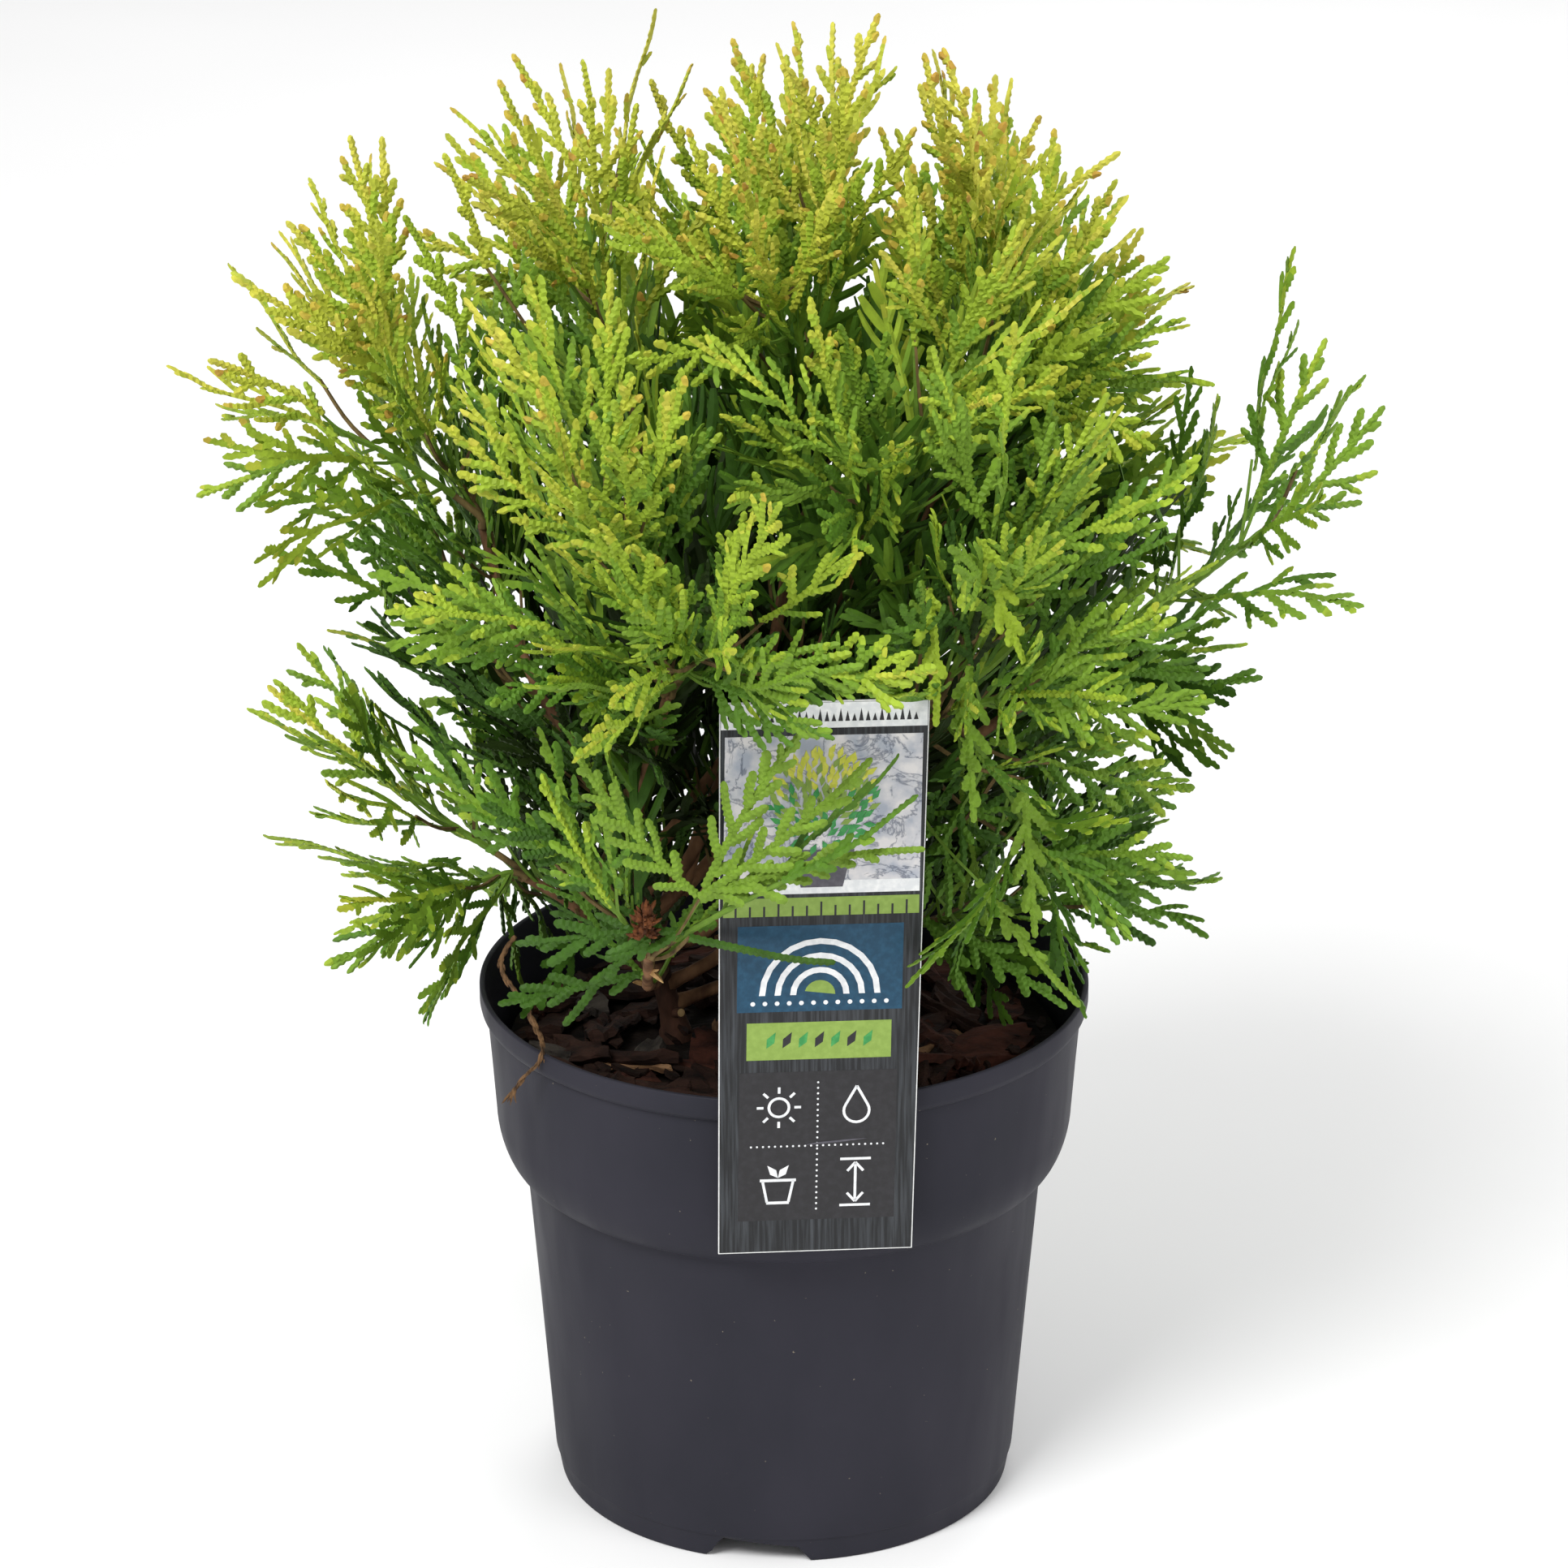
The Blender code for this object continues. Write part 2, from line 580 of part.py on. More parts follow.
def bough_line(name):
    """A bough's axis and radii from 0.3 mm off the trunk to its tip, and the way its base faces."""
    leave, height, way = BOUGHS[name]
    path, radii = trunk_line()
    if leave == "fork":
        facing = (path[-1] - path[-2]).normalized()
        side = square_to(Vector((height, 0, 0)), facing)
        start = path[-1] + facing * GAP + side * FORK_SPREAD
        base = FORK_RADIUS
    else:
        base = BOUGH_BASE_RADIUS
        low, radius = on_trunk(height - base)
        high, _ = on_trunk(height + base)
        heading = math.radians(leave)
        facing = square_to(Vector((math.cos(heading), math.sin(heading), 0)), high - low)
        start = (low + high) / 2 + facing * (radius + GAP)
    line = smooth_path([start, start + facing * BOUGH_COLLAR, *way], BOUGH_STEP)
    count = len(line) - 1
    return line, [base + (BOUGH_TIP_RADIUS - base) * k / count for k in range(count + 1)], facing


def square_to(way, axis):
    """The unit vector nearest to the given way that is square to the axis."""
    axis = axis.normalized()
    return (way - axis * way.dot(axis)).normalized()


def make_boughs():
    """Every bough as its own limb; returns their axes and radii by name."""
    material = principled("bough_bark", (0.26, 0.15, 0.10), 0.8)
    lines = {}
    for name in BOUGHS:
        line, radii, facing = bough_line(name)
        solid(f"bough_{name}", *tube(line, radii, BOUGH_SIDES, facing), material)
        lines[name] = (line, radii)
    return lines


class Guards:
    """Round zones that foliage keeps clear of, each a point with a radius and an owner."""

    def __init__(self):
        self.zones = []

    def add_line(self, line, radii, owner, step=0.0015):
        for a, b, ra, rb in zip(line, line[1:], radii, radii[1:]):
            count = max(1, math.ceil((b - a).length / step))
            for k in range(count + 1):
                self.zones.append((a.lerp(b, k / count), ra + (rb - ra) * k / count, owner))

    def add_point(self, point, radius, owner):
        self.zones.append((point, radius, owner))

    def near(self, centre, reach, skip=()):
        return [(p, r) for p, r, owner in self.zones
                if owner not in skip and (p - centre).length < reach + r + CLEARANCE]


def guard_the_pot(guards):
    """Zones round the pot's lip, over the whole label and down its tongue."""
    lip = (RIM_MOUTH_RADIUS + RIM_RADIUS) / 2
    for k in range(LIP_GUARDS):
        turn = 2 * math.pi * k / LIP_GUARDS
        centre = Vector((lip * math.cos(turn), lip * math.sin(turn), POT_HEIGHT - LIP_HEIGHT / 2))
        guards.add_point(centre, LIP_GUARD_RADIUS, "pot")
    frame = card_frame()
    middle = -(RIM_RADIUS + GAP + CARD_THICKNESS / 2)
    rows = math.ceil((CARD_TOP_Z - CARD_LOW_Z) / CARD_GUARD_STEP)
    columns = math.ceil(CARD_TOP_WIDTH / CARD_GUARD_STEP)
    for row in range(rows + 1):
        for column in range(columns + 1):
            x = CARD_TOP_WIDTH * (column / columns - 0.5)
            z = CARD_LOW_Z + (CARD_TOP_Z - CARD_LOW_Z) * row / rows
            guards.add_point(frame @ Vector((x, middle, z)), CARD_GUARD_RADIUS, "label")
    tongue = TONGUE_THICKNESS / 2 - TONGUE_INNER_RADIUS
    for k in range(TONGUE_GUARDS):
        z = TONGUE_LOW_Z + (POT_HEIGHT - TONGUE_LOW_Z) * k / (TONGUE_GUARDS - 1)
        for x in (-TONGUE_WIDTH / 3, 0.0, TONGUE_WIDTH / 3):
            guards.add_point(frame @ Vector((x, tongue, z)), TONGUE_GUARD_RADIUS, "label")


class Space:
    """The part of the crown that one mass keeps to: its cell, and its own reach."""

    def __init__(self, name, centres, tip):
        self.centre = centres[name]
        self.others = [c for key, c in centres.items() if key != name]
        self.reach = (tip - Vector(CROWN_CENTRE)).length

    def owns(self, point):
        """Whether the point is in the cell, clear of the planes between it and its neighbours."""
        for other in self.others:
            apart = (other - self.centre).length
            depth = ((point - other).length_squared - (point - self.centre).length_squared) / (2 * apart)
            if depth < CELL_MARGIN:
                return False
        return True

    def holds(self, point):
        """Whether the point is in the cell and in reach, and clear of the mulch and the pot."""
        if not self.owns(point):
            return False
        if abs(point.x) > REACH_SIDE or abs(point.y) > REACH_FRONT or point.z > REACH_TOP:
            return False
        if (point - Vector(CROWN_CENTRE)).length > self.reach:
            return False
        out = math.hypot(point.x, point.y)
        if out < MOUTH_CLEAR_RADIUS:
            return point.z > MULCH_Z + OVER_MULCH
        return point.z > POT_HEIGHT + OVER_LIP or out > RIM_CLEAR_RADIUS


def spray(base, along, flat, length):
    """Vertices and faces of one toothed blade: a four-sided rib, a pair of teeth between each two
    notches and a last tooth at its end, every tooth a four-sided spike on the rib's own faces."""
    width = length * SPRAY_WIDTH_SHARE
    side = flat.cross(along).normalized()
    vertices = []
    for k, share in enumerate(NOTCHES):
        narrow = 1 - RIB_NARROWING * k
        for edge in (-1, 1):
            for face in (-1, 1):
                vertices.append(base + along * share * length + side * edge * RIB_HALF_WIDTH * narrow
                                + flat * face * RIB_HALF_THICKNESS * narrow)
    last = len(vertices) - 4
    faces = [(0, 1, 3, 2)]
    roots = []
    for k in range(len(NOTCHES) - 1):
        here = 4 * k
        for face in (0, 1):
            faces.append((here + face, here + 2 + face, here + 6 + face, here + 4 + face))
        for edge, corner in ((-1, here), (1, here + 2)):
            forward, out = TEETH[edge][k]
            roots.append((corner, corner + 1, corner + 5, corner + 4))
            vertices.append(base + along * forward * length + side * edge * out * width)
    roots.append((last, last + 1, last + 3, last + 2))
    vertices.append(base + along * length)
    for tooth, corners in enumerate(roots, last + 4):
        faces += [(corners[n], corners[(n + 1) % 4], tooth) for n in range(4)]
    return vertices, faces


def flat_side(along, rule, spread):
    """The way a spray's flat side faces: its blade stands upright, turned by a seeded angle."""
    level = along.cross(Vector((0, 0, 1)))
    if level.length < 0.3:
        turn = rule.uniform(0, 2 * math.pi)
        level = along.cross(Vector((math.cos(turn), math.sin(turn), 0.2)))
    return Matrix.Rotation(rule.uniform(-spread, spread), 3, along) @ level.normalized()


class Growth:
    """Grows one mass: a stem from the bough's tip, side twigs on it and a blade on each."""

    def __init__(self, name, index, bough, centres, guards):
        self.name = name
        self.rule = random.Random(SEED + 7 * index)
        self.tip = Vector(MASSES[name][1])
        self.space = Space(name, centres, self.tip)
        self.guards = guards
        self.blades = []
        self.trees = []
        self.twigs = []
        self.heading = (bough[-1] - bough[-2]).normalized()
        self.stem = self.stem_line(bough[-1])

    def seat(self, end):
        """How far beside the bough's axis the stem starts: the masses on one end share it evenly."""
        carrier = MASSES[self.name][0]
        siblings = [name for name, row in MASSES.items() if row[0] == carrier]
        if len(siblings) == 1:
            return Vector()
        east = self.heading.orthogonal().normalized()
        north = self.heading.cross(east)
        turns = {}
        for name in siblings:
            goal = Vector(MASSES[name][1]) - end
            turns[name] = math.atan2(goal.dot(north), goal.dot(east))
        order = sorted(siblings, key=turns.get)
        shifts = [turns[name] - 2 * math.pi * k / len(order) for k, name in enumerate(order)]
        mean = math.atan2(sum(map(math.sin, shifts)), sum(map(math.cos, shifts)))
        turn = mean + 2 * math.pi * order.index(self.name) / len(order)
        return (east * math.cos(turn) + north * math.sin(turn)) * STEM_OFFSET

    def stem_line(self, end):
        """The stem's axis: square off the bough's end, then a curve to the root of the leading blade."""
        foot = end + self.heading * GAP + self.seat(end)
        start = foot + self.heading * STEM_COLLAR
        goal = (self.tip - start).normalized()
        bend = start + (self.heading * 0.35 + goal * 0.65).normalized() * (self.tip - start).length * 0.4
        curve = []
        for k in range(25):
            t = k / 24
            curve.append(start * (1 - t) ** 2 + bend * 2 * t * (1 - t) + self.tip * t ** 2)
        keep = [p for p in curve if (p - self.tip).length > SPRAY_LENGTHS[1] * 0.86]
        keep = keep if len(keep) > 3 else curve[:6]
        total = sum((b - a).length for a, b in zip(keep, keep[1:]))
        return [foot, *even_points(keep, total / (STEM_POINTS - 1))]

    def stem_radii(self):
        count = len(self.stem) - 1
        taper = (STEM_BASE_RADIUS - STEM_TIP_RADIUS) / count
        return [STEM_BASE_RADIUS - taper * k for k in range(count + 1)]

    def clear(self, vertices, faces, base, root, test):
        """Whether a blade or twig stays in its space and touches nothing but what it grows from."""
        if not all(test(v) for v in vertices if (v - base).length > root):
            return False
        tree = BVHTree.FromPolygons([tuple(v) for v in vertices], faces)
        if any(tree.overlap(other) for other in self.trees):
            return False
        centre = sum(vertices, Vector()) / len(vertices)
        reach = max((v - centre).length for v in vertices)
        for point, radius in self.guards.near(centre, reach, (self.name,)):
            if tree.find_nearest(point, radius + CLEARANCE)[0] is not None:
                return False
        for line in (self.stem, *self.twigs):
            for a, b in zip(line, line[1:]):
                for k in range(5):
                    point = a.lerp(b, k / 4)
                    away = (point - base).length > root
                    if away and tree.find_nearest(point, TWIG_CLEARANCE)[0] is not None:
                        return False
        return True

    def add_blade(self, end, along, flat, length, test):
        base = end - along * SPRAY_SUNK
        vertices, faces = spray(base, along, flat, length)
        if not self.clear(vertices, faces, end, SPRAY_ROOT, test):
            return False
        self.blades.append((vertices, faces))
        self.trees.append(BVHTree.FromPolygons([tuple(v) for v in vertices], faces))
        return True

    def grow_leader(self):
        """The blade at the stem's end; it alone may go as far as the mass's named tip."""
        end = self.stem[-1]
        along = (self.tip - end).normalized()
        length = (self.tip - end).length + SPRAY_SUNK
        for attempt in range(TRIES):
            flat = flat_side(along, self.rule, 0.4 + 0.1 * attempt)
            if self.add_blade(end, along, flat, length, self.space.owns):
                return

    def grow_side(self, share, roll):
        """One side twig with its blade; the twig turns on until it finds room, or is skipped."""
        limb = self.stem[1:]
        span = share * (len(limb) - 1)
        index = min(int(span), len(limb) - 2)
        root = limb[index].lerp(limb[index + 1], span - index)
        ahead = (limb[index + 1] - limb[index]).normalized()
        for attempt in range(TRIES):
            turn = roll + attempt * 0.9 + self.rule.uniform(-0.25, 0.25)
            lean = self.rule.uniform(0.55, 1.05)
            side = Matrix.Rotation(turn, 3, ahead) @ ahead.orthogonal().normalized()
            along = (ahead * math.cos(lean) + side * math.sin(lean) + Vector((0, 0, 0.12))).normalized()
            shrink = 1 - SHRINK_A_TRY * attempt
            twig = (TWIG_LENGTHS[0] + (TWIG_LENGTHS[1] - TWIG_LENGTHS[0]) * share) * shrink
            length = (SPRAY_LENGTHS[0] + (SPRAY_LENGTHS[1] - SPRAY_LENGTHS[0]) * share) * shrink
            end = root + along * twig
            flat = flat_side(along, self.rule, 1.0 + 0.03 * attempt)
            line = [root, end]
            vertices, _ = tube(line, [TWIG_RADIUS] * 2, STEM_SIDES)
            if not self.clear(vertices[STEM_SIDES:], [(0, 1, 2)], root, TWIG_ROOT, self.space.holds):
                continue
            if self.crosses_a_blade(line):
                continue
            if self.add_blade(end, along, flat, length, self.space.holds):
                self.twigs.append(line)
                return

    def crosses_a_blade(self, line):
        """Whether a twig comes too near to a blade that is already there."""
        points = [line[0].lerp(line[1], k / 6) for k in range(2, 7)]
        return any(tree.find_nearest(point, 2 * CLEARANCE)[0] for tree in self.trees for point in points)

    def grow(self, count):
        """The leading blade, then side twigs from the stem's end down to its foot."""
        self.grow_leader()
        roll = self.rule.uniform(0, 2 * math.pi)
        for k in range(count):
            share = 0.96 - 0.84 * k / max(1, count - 1)
            self.grow_side(share, roll + GOLDEN_ANGLE * k)

    def build(self):
        """One solid of the stem, its twigs and its blades, greener low in the crown."""
        tone = min(1, max(0, (self.tip.z - 0.16) / 0.3))
        colour = (0.10 + 0.35 * tone, 0.26 + 0.16 * tone, 0.02 + 0.01 * tone)
        material = principled(f"leaves_{self.name}", colour, 0.55)
        tubes = tube(self.stem, self.stem_radii(), STEM_SIDES, self.heading)
        stem = solid(f"foliage_{self.name}", *tubes, material, 20)
        parts = []
        for k, line in enumerate(self.twigs):
            parts.append(solid(f"twig_{k}", *tube(line, [TWIG_RADIUS] * 2, STEM_SIDES), material))
        for k, (vertices, faces) in enumerate(self.blades):
            parts.append(solid(f"blade_{k}", vertices, faces, material, 20))
        unite(stem, parts)


def make_foliage(boughs):
    """Every mass of foliage, each in its own space."""
    guards = Guards()
    guard_the_pot(guards)
    guards.add_line(*trunk_line(), "trunk")
    guards.add_line(*sprig_line(), "sprig")
    for name, (line, radii) in boughs.items():
        guards.add_line(line, radii, f"bough_{name}")
    centres = {name: boughs[bough][0][-1].lerp(Vector(tip), CELL_SHARE)
               for name, (bough, tip, count) in MASSES.items()}
    growths = []
    for index, (name, (bough, tip, count)) in enumerate(MASSES.items()):
        growth = Growth(name, index, boughs[bough][0], centres, guards)
        guards.add_line(growth.stem, growth.stem_radii(), name)
        growths.append((growth, count))
    for growth, count in growths:
        growth.grow(count)
        growth.build()


for old in list(bpy.data.objects):
    bpy.data.objects.remove(old)
make_pot()
make_mulch()
make_label()
make_sprig()
make_trunk()
make_foliage(make_boughs())
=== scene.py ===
"""Looks of a potted golden globe arborvitae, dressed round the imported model.

Metres, +Z up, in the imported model's frame. The crown is grown again here by the source's own
rule, so that each mass keeps to its space, and every blade of it becomes a fine flat spray of
scale leaves. More sprays on finer twigs then fill each space where the crown is still thin.
"""
import functools
import math
import random
from collections import namedtuple

import bpy
import numpy as np
from mathutils import Matrix, Vector, noise
from mathutils.bvhtree import BVHTree


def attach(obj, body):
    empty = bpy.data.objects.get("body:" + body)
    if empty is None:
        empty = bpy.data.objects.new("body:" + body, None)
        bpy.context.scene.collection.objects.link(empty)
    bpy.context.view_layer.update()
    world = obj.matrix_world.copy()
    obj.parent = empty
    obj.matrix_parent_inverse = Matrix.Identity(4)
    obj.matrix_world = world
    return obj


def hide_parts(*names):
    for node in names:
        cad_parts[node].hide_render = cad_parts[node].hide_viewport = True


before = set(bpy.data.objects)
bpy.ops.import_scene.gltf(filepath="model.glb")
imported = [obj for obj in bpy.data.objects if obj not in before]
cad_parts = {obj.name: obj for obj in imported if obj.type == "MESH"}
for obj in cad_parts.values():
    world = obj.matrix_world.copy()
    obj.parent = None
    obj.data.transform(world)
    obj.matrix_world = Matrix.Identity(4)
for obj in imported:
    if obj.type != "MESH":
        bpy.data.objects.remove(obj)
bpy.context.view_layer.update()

# Camera: the photograph's own view
IMAGE_SIZE = 1932
FOCAL_PIXELS = 7074
CAMERA_PLACE = (0.0, -1.6459, 0.8807)
CAMERA_DOWN = math.radians(21.51)

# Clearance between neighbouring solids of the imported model
GAP = 0.0003

# Pot, a turned shape: radii of the outside and heights above the floor
POT_HEIGHT = 0.168
RIM_RADIUS = 0.095
RIM_MOUTH_RADIUS = 0.0934
LIP_ROUND = 0.0006
LIP_HEIGHT = 0.0075
COLLAR_TOP_RADIUS = 0.0928
COLLAR_LOW_RADIUS = 0.0903
COLLAR_LOW_Z = 0.126
SHOULDER_RADIUS = 0.0820
SHOULDER_Z = 0.1088
BODY_TOP_RADIUS = 0.0812
BODY_TOP_Z = 0.107
BODY_LOW_RADIUS = 0.0734
FOOT_HEIGHT = 0.0080
FOOT_TOP_RADIUS = 0.0729
FOOT_RADIUS = 0.0716
FOOT_INNER_RADIUS = 0.0655
FLOOR_UNDER_Z = 0.0088
FLOOR_TOP_Z = 0.0104
WALL = 0.0015
POT_SEGMENTS = 216
SHOULDER_STEPS = 12
NOTCH_COUNT = 3
NOTCH_ANGLE = math.radians(-96)
NOTCH_ACROSS = (-0.0162, -0.0153, -0.0120, 0.0115, 0.0160)
NOTCH_HEIGHTS = (0.0, 0.0022, 0.0076, 0.0056, 0.0)

# Growing medium and the bark pieces on it
MULCH_Z = 0.147
MULCH_RADIUS = 0.0868
MULCH_DEPTH = 0.020
MULCH_RINGS = 26
MULCH_SEGMENTS = 90
CHIP_KINDS = (
    ("chips_red", 46, (0.020, 0.042), (0.008, 0.017), 0.0036),
    ("chips_brown", 50, (0.016, 0.036), (0.007, 0.014), 0.0034),
    ("chips_grey", 8, (0.014, 0.026), (0.006, 0.011), 0.0026),
    ("chips_fresh", 9, (0.010, 0.026), (0.003, 0.006), 0.0018),
    ("chips_fine", 300, (0.004, 0.010), (0.002, 0.005), 0.0014),
)
CHIP_FINE = 0.0102

# Label: a flat card outside the rim on a tongue that hooks over it
CARD_TOP_WIDTH = 0.0612
CARD_LOW_WIDTH = 0.0584
CARD_LOW_Z = 0.1192
CARD_TOP_Z = 0.2953
CARD_THICKNESS = 0.0007
CARD_YAW = math.radians(6)
CARD_ROLL = math.radians(0.8)
TONGUE_WIDTH = 0.016
TONGUE_THICKNESS = 0.0008
TONGUE_INNER_RADIUS = 0.0892
TONGUE_LOW_Z = 0.1470
PRINT_RISE = 0.00004
PRINT_SUNK = 0.0002
PRINT_INSET = 0.0003

# Trunk, from the flat cut at the mulch to the fork
TRUNK_POINTS = (
    (-0.034, 0.005, MULCH_Z + GAP), (-0.0385, 0.0025, 0.168), (-0.0430, 0.0005, 0.194),
    (-0.050, -0.002, 0.222),
)
TRUNK_FOOT_RADIUS = 0.0032
TRUNK_TOP_RADIUS = 0.0026
FLARE_RADIUS = 0.0019
FLARE_LENGTH = 0.006
STUB_Z = 0.1535
STUB_RADIUS = 0.0015
STUB_LENGTH = 0.0072
STUB_HEADING = math.radians(-62)

# Boughs: the heading in degrees and the height where each leaves the trunk, then its way to its tip.
# The two at the fork stand side by side on the trunk's end, on the left (-1) and the right (1).
BOUGH_BASE_RADIUS = 0.0021
BOUGH_TIP_RADIUS = 0.0015
FORK_SPREAD = 0.0021
FORK_RADIUS = 0.0019
BOUGH_STEP = 0.016
BOUGH_COLLAR = 0.006
BOUGHS = {
    "left": ("fork", -1, ((-0.062, -0.002, 0.243), (-0.074, -0.003, 0.262), (-0.085, -0.004, 0.292),
                          (-0.091, -0.005, 0.318))),
    "upright": ("fork", 1, ((-0.041, -0.003, 0.243), (-0.033, -0.004, 0.270), (-0.036, -0.005, 0.300),
                            (-0.044, 0.0, 0.345))),
    "centre": (-5, 0.190, ((-0.025, -0.002, 0.220), (-0.007, -0.004, 0.266), (0.001, -0.004, 0.305),
                           (0.005, 0.0, 0.352))),
    "right": (5, 0.164, ((-0.010, 0.006, 0.182), (0.032, 0.007, 0.222), (0.066, 0.005, 0.251),
                         (0.086, 0.004, 0.264))),
    "right_upright": (35, 0.206, ((-0.020, 0.016, 0.232), (0.018, 0.018, 0.275), (0.045, 0.012, 0.320),
                                  (0.056, 0.006, 0.348))),
    "front": (-95, 0.206, ((-0.046, -0.025, 0.221), (-0.042, -0.050, 0.252), (-0.034, -0.070, 0.288))),
    "front_low": (-90, 0.170, ((-0.041, -0.030, 0.178), (-0.041, -0.062, 0.192), (-0.040, -0.088, 0.212))),
    "front_right": (-40, 0.178, ((-0.014, -0.020, 0.200), (0.016, -0.044, 0.238), (0.044, -0.060, 0.276))),
    "middle": (-28, 0.198, ((-0.020, -0.012, 0.228), (0.006, -0.027, 0.276), (0.020, -0.038, 0.314))),
    "back": (95, 0.202, ((-0.044, 0.028, 0.224), (-0.030, 0.056, 0.268), (-0.018, 0.070, 0.308))),
    "back_low": (88, 0.172, ((-0.036, 0.032, 0.184), (-0.018, 0.064, 0.204), (-0.004, 0.084, 0.222))),
    "left_low": (185, 0.180, ((-0.062, -0.006, 0.192), (-0.080, -0.009, 0.205))),
    "left_back": (150, 0.214, ((-0.070, 0.018, 0.234), (-0.086, 0.032, 0.252))),
    "pot_right": (20, 0.1560, ((0.000, 0.014, 0.166), (0.036, 0.010, 0.180))),
    "back_right": (50, 0.186, ((-0.012, 0.030, 0.208), (0.030, 0.054, 0.246), (0.058, 0.064, 0.282))),
}

# Foliage masses: the bough that carries each one, its furthest tip and how many side sprays it has
MASSES = {
    "left_fan": ("left", (-0.185, -0.015, 0.370), 7),
    "upper_left": ("left", (-0.158, -0.008, 0.403), 6),
    "top_left": ("upright", (-0.072, 0.010, 0.463), 7),
    "top_centre": ("centre", (0.021, 0.012, 0.473), 7),
    "front_top": ("centre", (-0.014, -0.082, 0.440), 6),
    "right_fan": ("right", (0.185, 0.005, 0.348), 7),
    "right_lower": ("right", (0.146, 0.000, 0.259), 6),
    "top_right": ("right_upright", (0.055, 0.004, 0.464), 6),
    "right_top": ("right_upright", (0.088, 0.030, 0.430), 5),
    "right_upper": ("right_upright", (0.113, -0.010, 0.402), 6),
    "front_upper_left": ("front", (-0.075, -0.122, 0.392), 6),
    "front_centre": ("front", (-0.012, -0.170, 0.338), 5),
    "front_left": ("front", (-0.112, -0.112, 0.334), 5),
    "front_low_left": ("front_low", (-0.074, -0.120, 0.276), 5),
    "front_low_right": ("front_low", (0.040, -0.138, 0.276), 5),
    "front_upper_right": ("front_right", (0.064, -0.122, 0.392), 6),
    "front_middle": ("middle", (0.016, -0.130, 0.388), 5),
    "middle_right": ("middle", (0.066, -0.066, 0.432), 5),
    "front_right": ("front_right", (0.098, -0.118, 0.308), 5),
    "drooping_right": ("front_right", (0.087, -0.078, 0.186), 5),
    "back_top": ("back", (-0.012, 0.082, 0.442), 6),
    "back_upper_left": ("back", (-0.098, 0.112, 0.388), 5),
    "back_centre": ("back", (0.004, 0.170, 0.334), 5),
    "back_low": ("back_low", (0.010, 0.142, 0.216), 4),
    "back_low_left": ("back_low", (-0.092, 0.108, 0.200), 4),
    "lower_left": ("left_low", (-0.160, 0.000, 0.262), 6),
    "bottom_left": ("left_low", (-0.139, -0.035, 0.187), 6),
    "pot_left": ("left_low", (-0.084, -0.006, 0.163), 2),
    "left_middle": ("left_back", (-0.153, 0.006, 0.312), 5),
    "back_left": ("left_back", (-0.124, 0.108, 0.300), 5),
    "pot_right": ("pot_right", (0.083, 0.024, 0.163), 2),
    "bottom_right": ("pot_right", (0.128, -0.030, 0.206), 6),
    "back_upper_right": ("back_right", (0.096, 0.112, 0.388), 6),
    "back_right": ("back_right", (0.126, 0.106, 0.300), 6),
    "back_low_right": ("back_right", (0.098, 0.106, 0.204), 5),
}
CROWN_CENTRE = (0.0, 0.0, 0.310)
CROWN_LOW_Z = 0.160
COARSE_DEEP = 0.42
CELL_SHARE = 0.62
CELL_MARGIN = 0.0005
CLEARANCE = 0.0006
REACH_SIDE = 0.183
REACH_FRONT = 0.168
REACH_TOP = 0.471

# Room that foliage leaves round the pot and the label
OVER_MULCH = 0.006
OVER_LIP = 0.002
MOUTH_CLEAR_RADIUS = 0.086
RIM_CLEAR_RADIUS = 0.0985
LIP_GUARD_RADIUS = 0.0046
LIP_GUARDS = 150
CARD_GUARD_RADIUS = 0.0032
CARD_GUARD_STEP = 0.004
TONGUE_GUARD_RADIUS = 0.0045
TONGUE_GUARDS = 8

# Stem and twigs of a mass, from the bough's end
STEM_BASE_RADIUS = 0.0011
STEM_TIP_RADIUS = 0.0005
STEM_SIDES = 3
STEM_POINTS = 5
STEM_OFFSET = 0.0014
STEM_COLLAR = 0.003
TWIG_RADIUS = 0.0005
TWIG_LENGTHS = (0.020, 0.008)
TWIG_ROOT = 0.004
TWIG_CLEARANCE = 0.0018
GOLDEN_ANGLE = math.radians(137.5)
TRIES = 26
SHRINK_A_TRY = 0.018

# The source's blade. Shares of its length or width: where the rib's notches are, and how far
# forward and out each tooth's tip is on either edge
SPRAY_LENGTHS = (0.074, 0.054)
SPRAY_WIDTH_SHARE = 0.62
SPRAY_SUNK = 0.0035
SPRAY_ROOT = 0.008
RIB_HALF_WIDTH = 0.0019
RIB_HALF_THICKNESS = 0.0006
RIB_NARROWING = 0.16
NOTCHES = (0.0, 0.27, 0.50, 0.72)
TEETH = {
    -1: ((0.36, 0.42), (0.60, 0.50), (0.80, 0.36)),
    1: ((0.45, 0.50), (0.69, 0.45), (0.86, 0.26)),
}

# Finer sprays that fill each space: how many for each of the source's, and their sizes; then the
# ones deep inside, which only have to keep within the crown
FILL_SHARE = 3.3
INNER_SHARE = 2.2
FILL_TRIES = 26
FILL_LENGTHS = (0.044, 0.070)
FILL_OVERLAP = 0.015
FILL_RISE_AT = (0.19, 0.30)
FILL_RISE = (0.05, 0.62)
FILL_TWIGS = (0.004, 0.036)
FILL_CLEARANCE = 0.0016
FILL_ON_BOUGH = 0.35
INNER_ON_BOUGH = 0.75
INNER_DEPTH = 0.26
INNER_DARKER = 0.18
BOUGH_BARE_SHARE = 0.22
FACING_OUT = 0.70
FACING_FROM = (0.0, 0.06, 0.29)
HIGH_FACING_FROM = (0.0, 0.12, 0.36)
CARD_CLEAR_SIDE = 0.033
CARD_CLEAR_DEPTH = 0.004

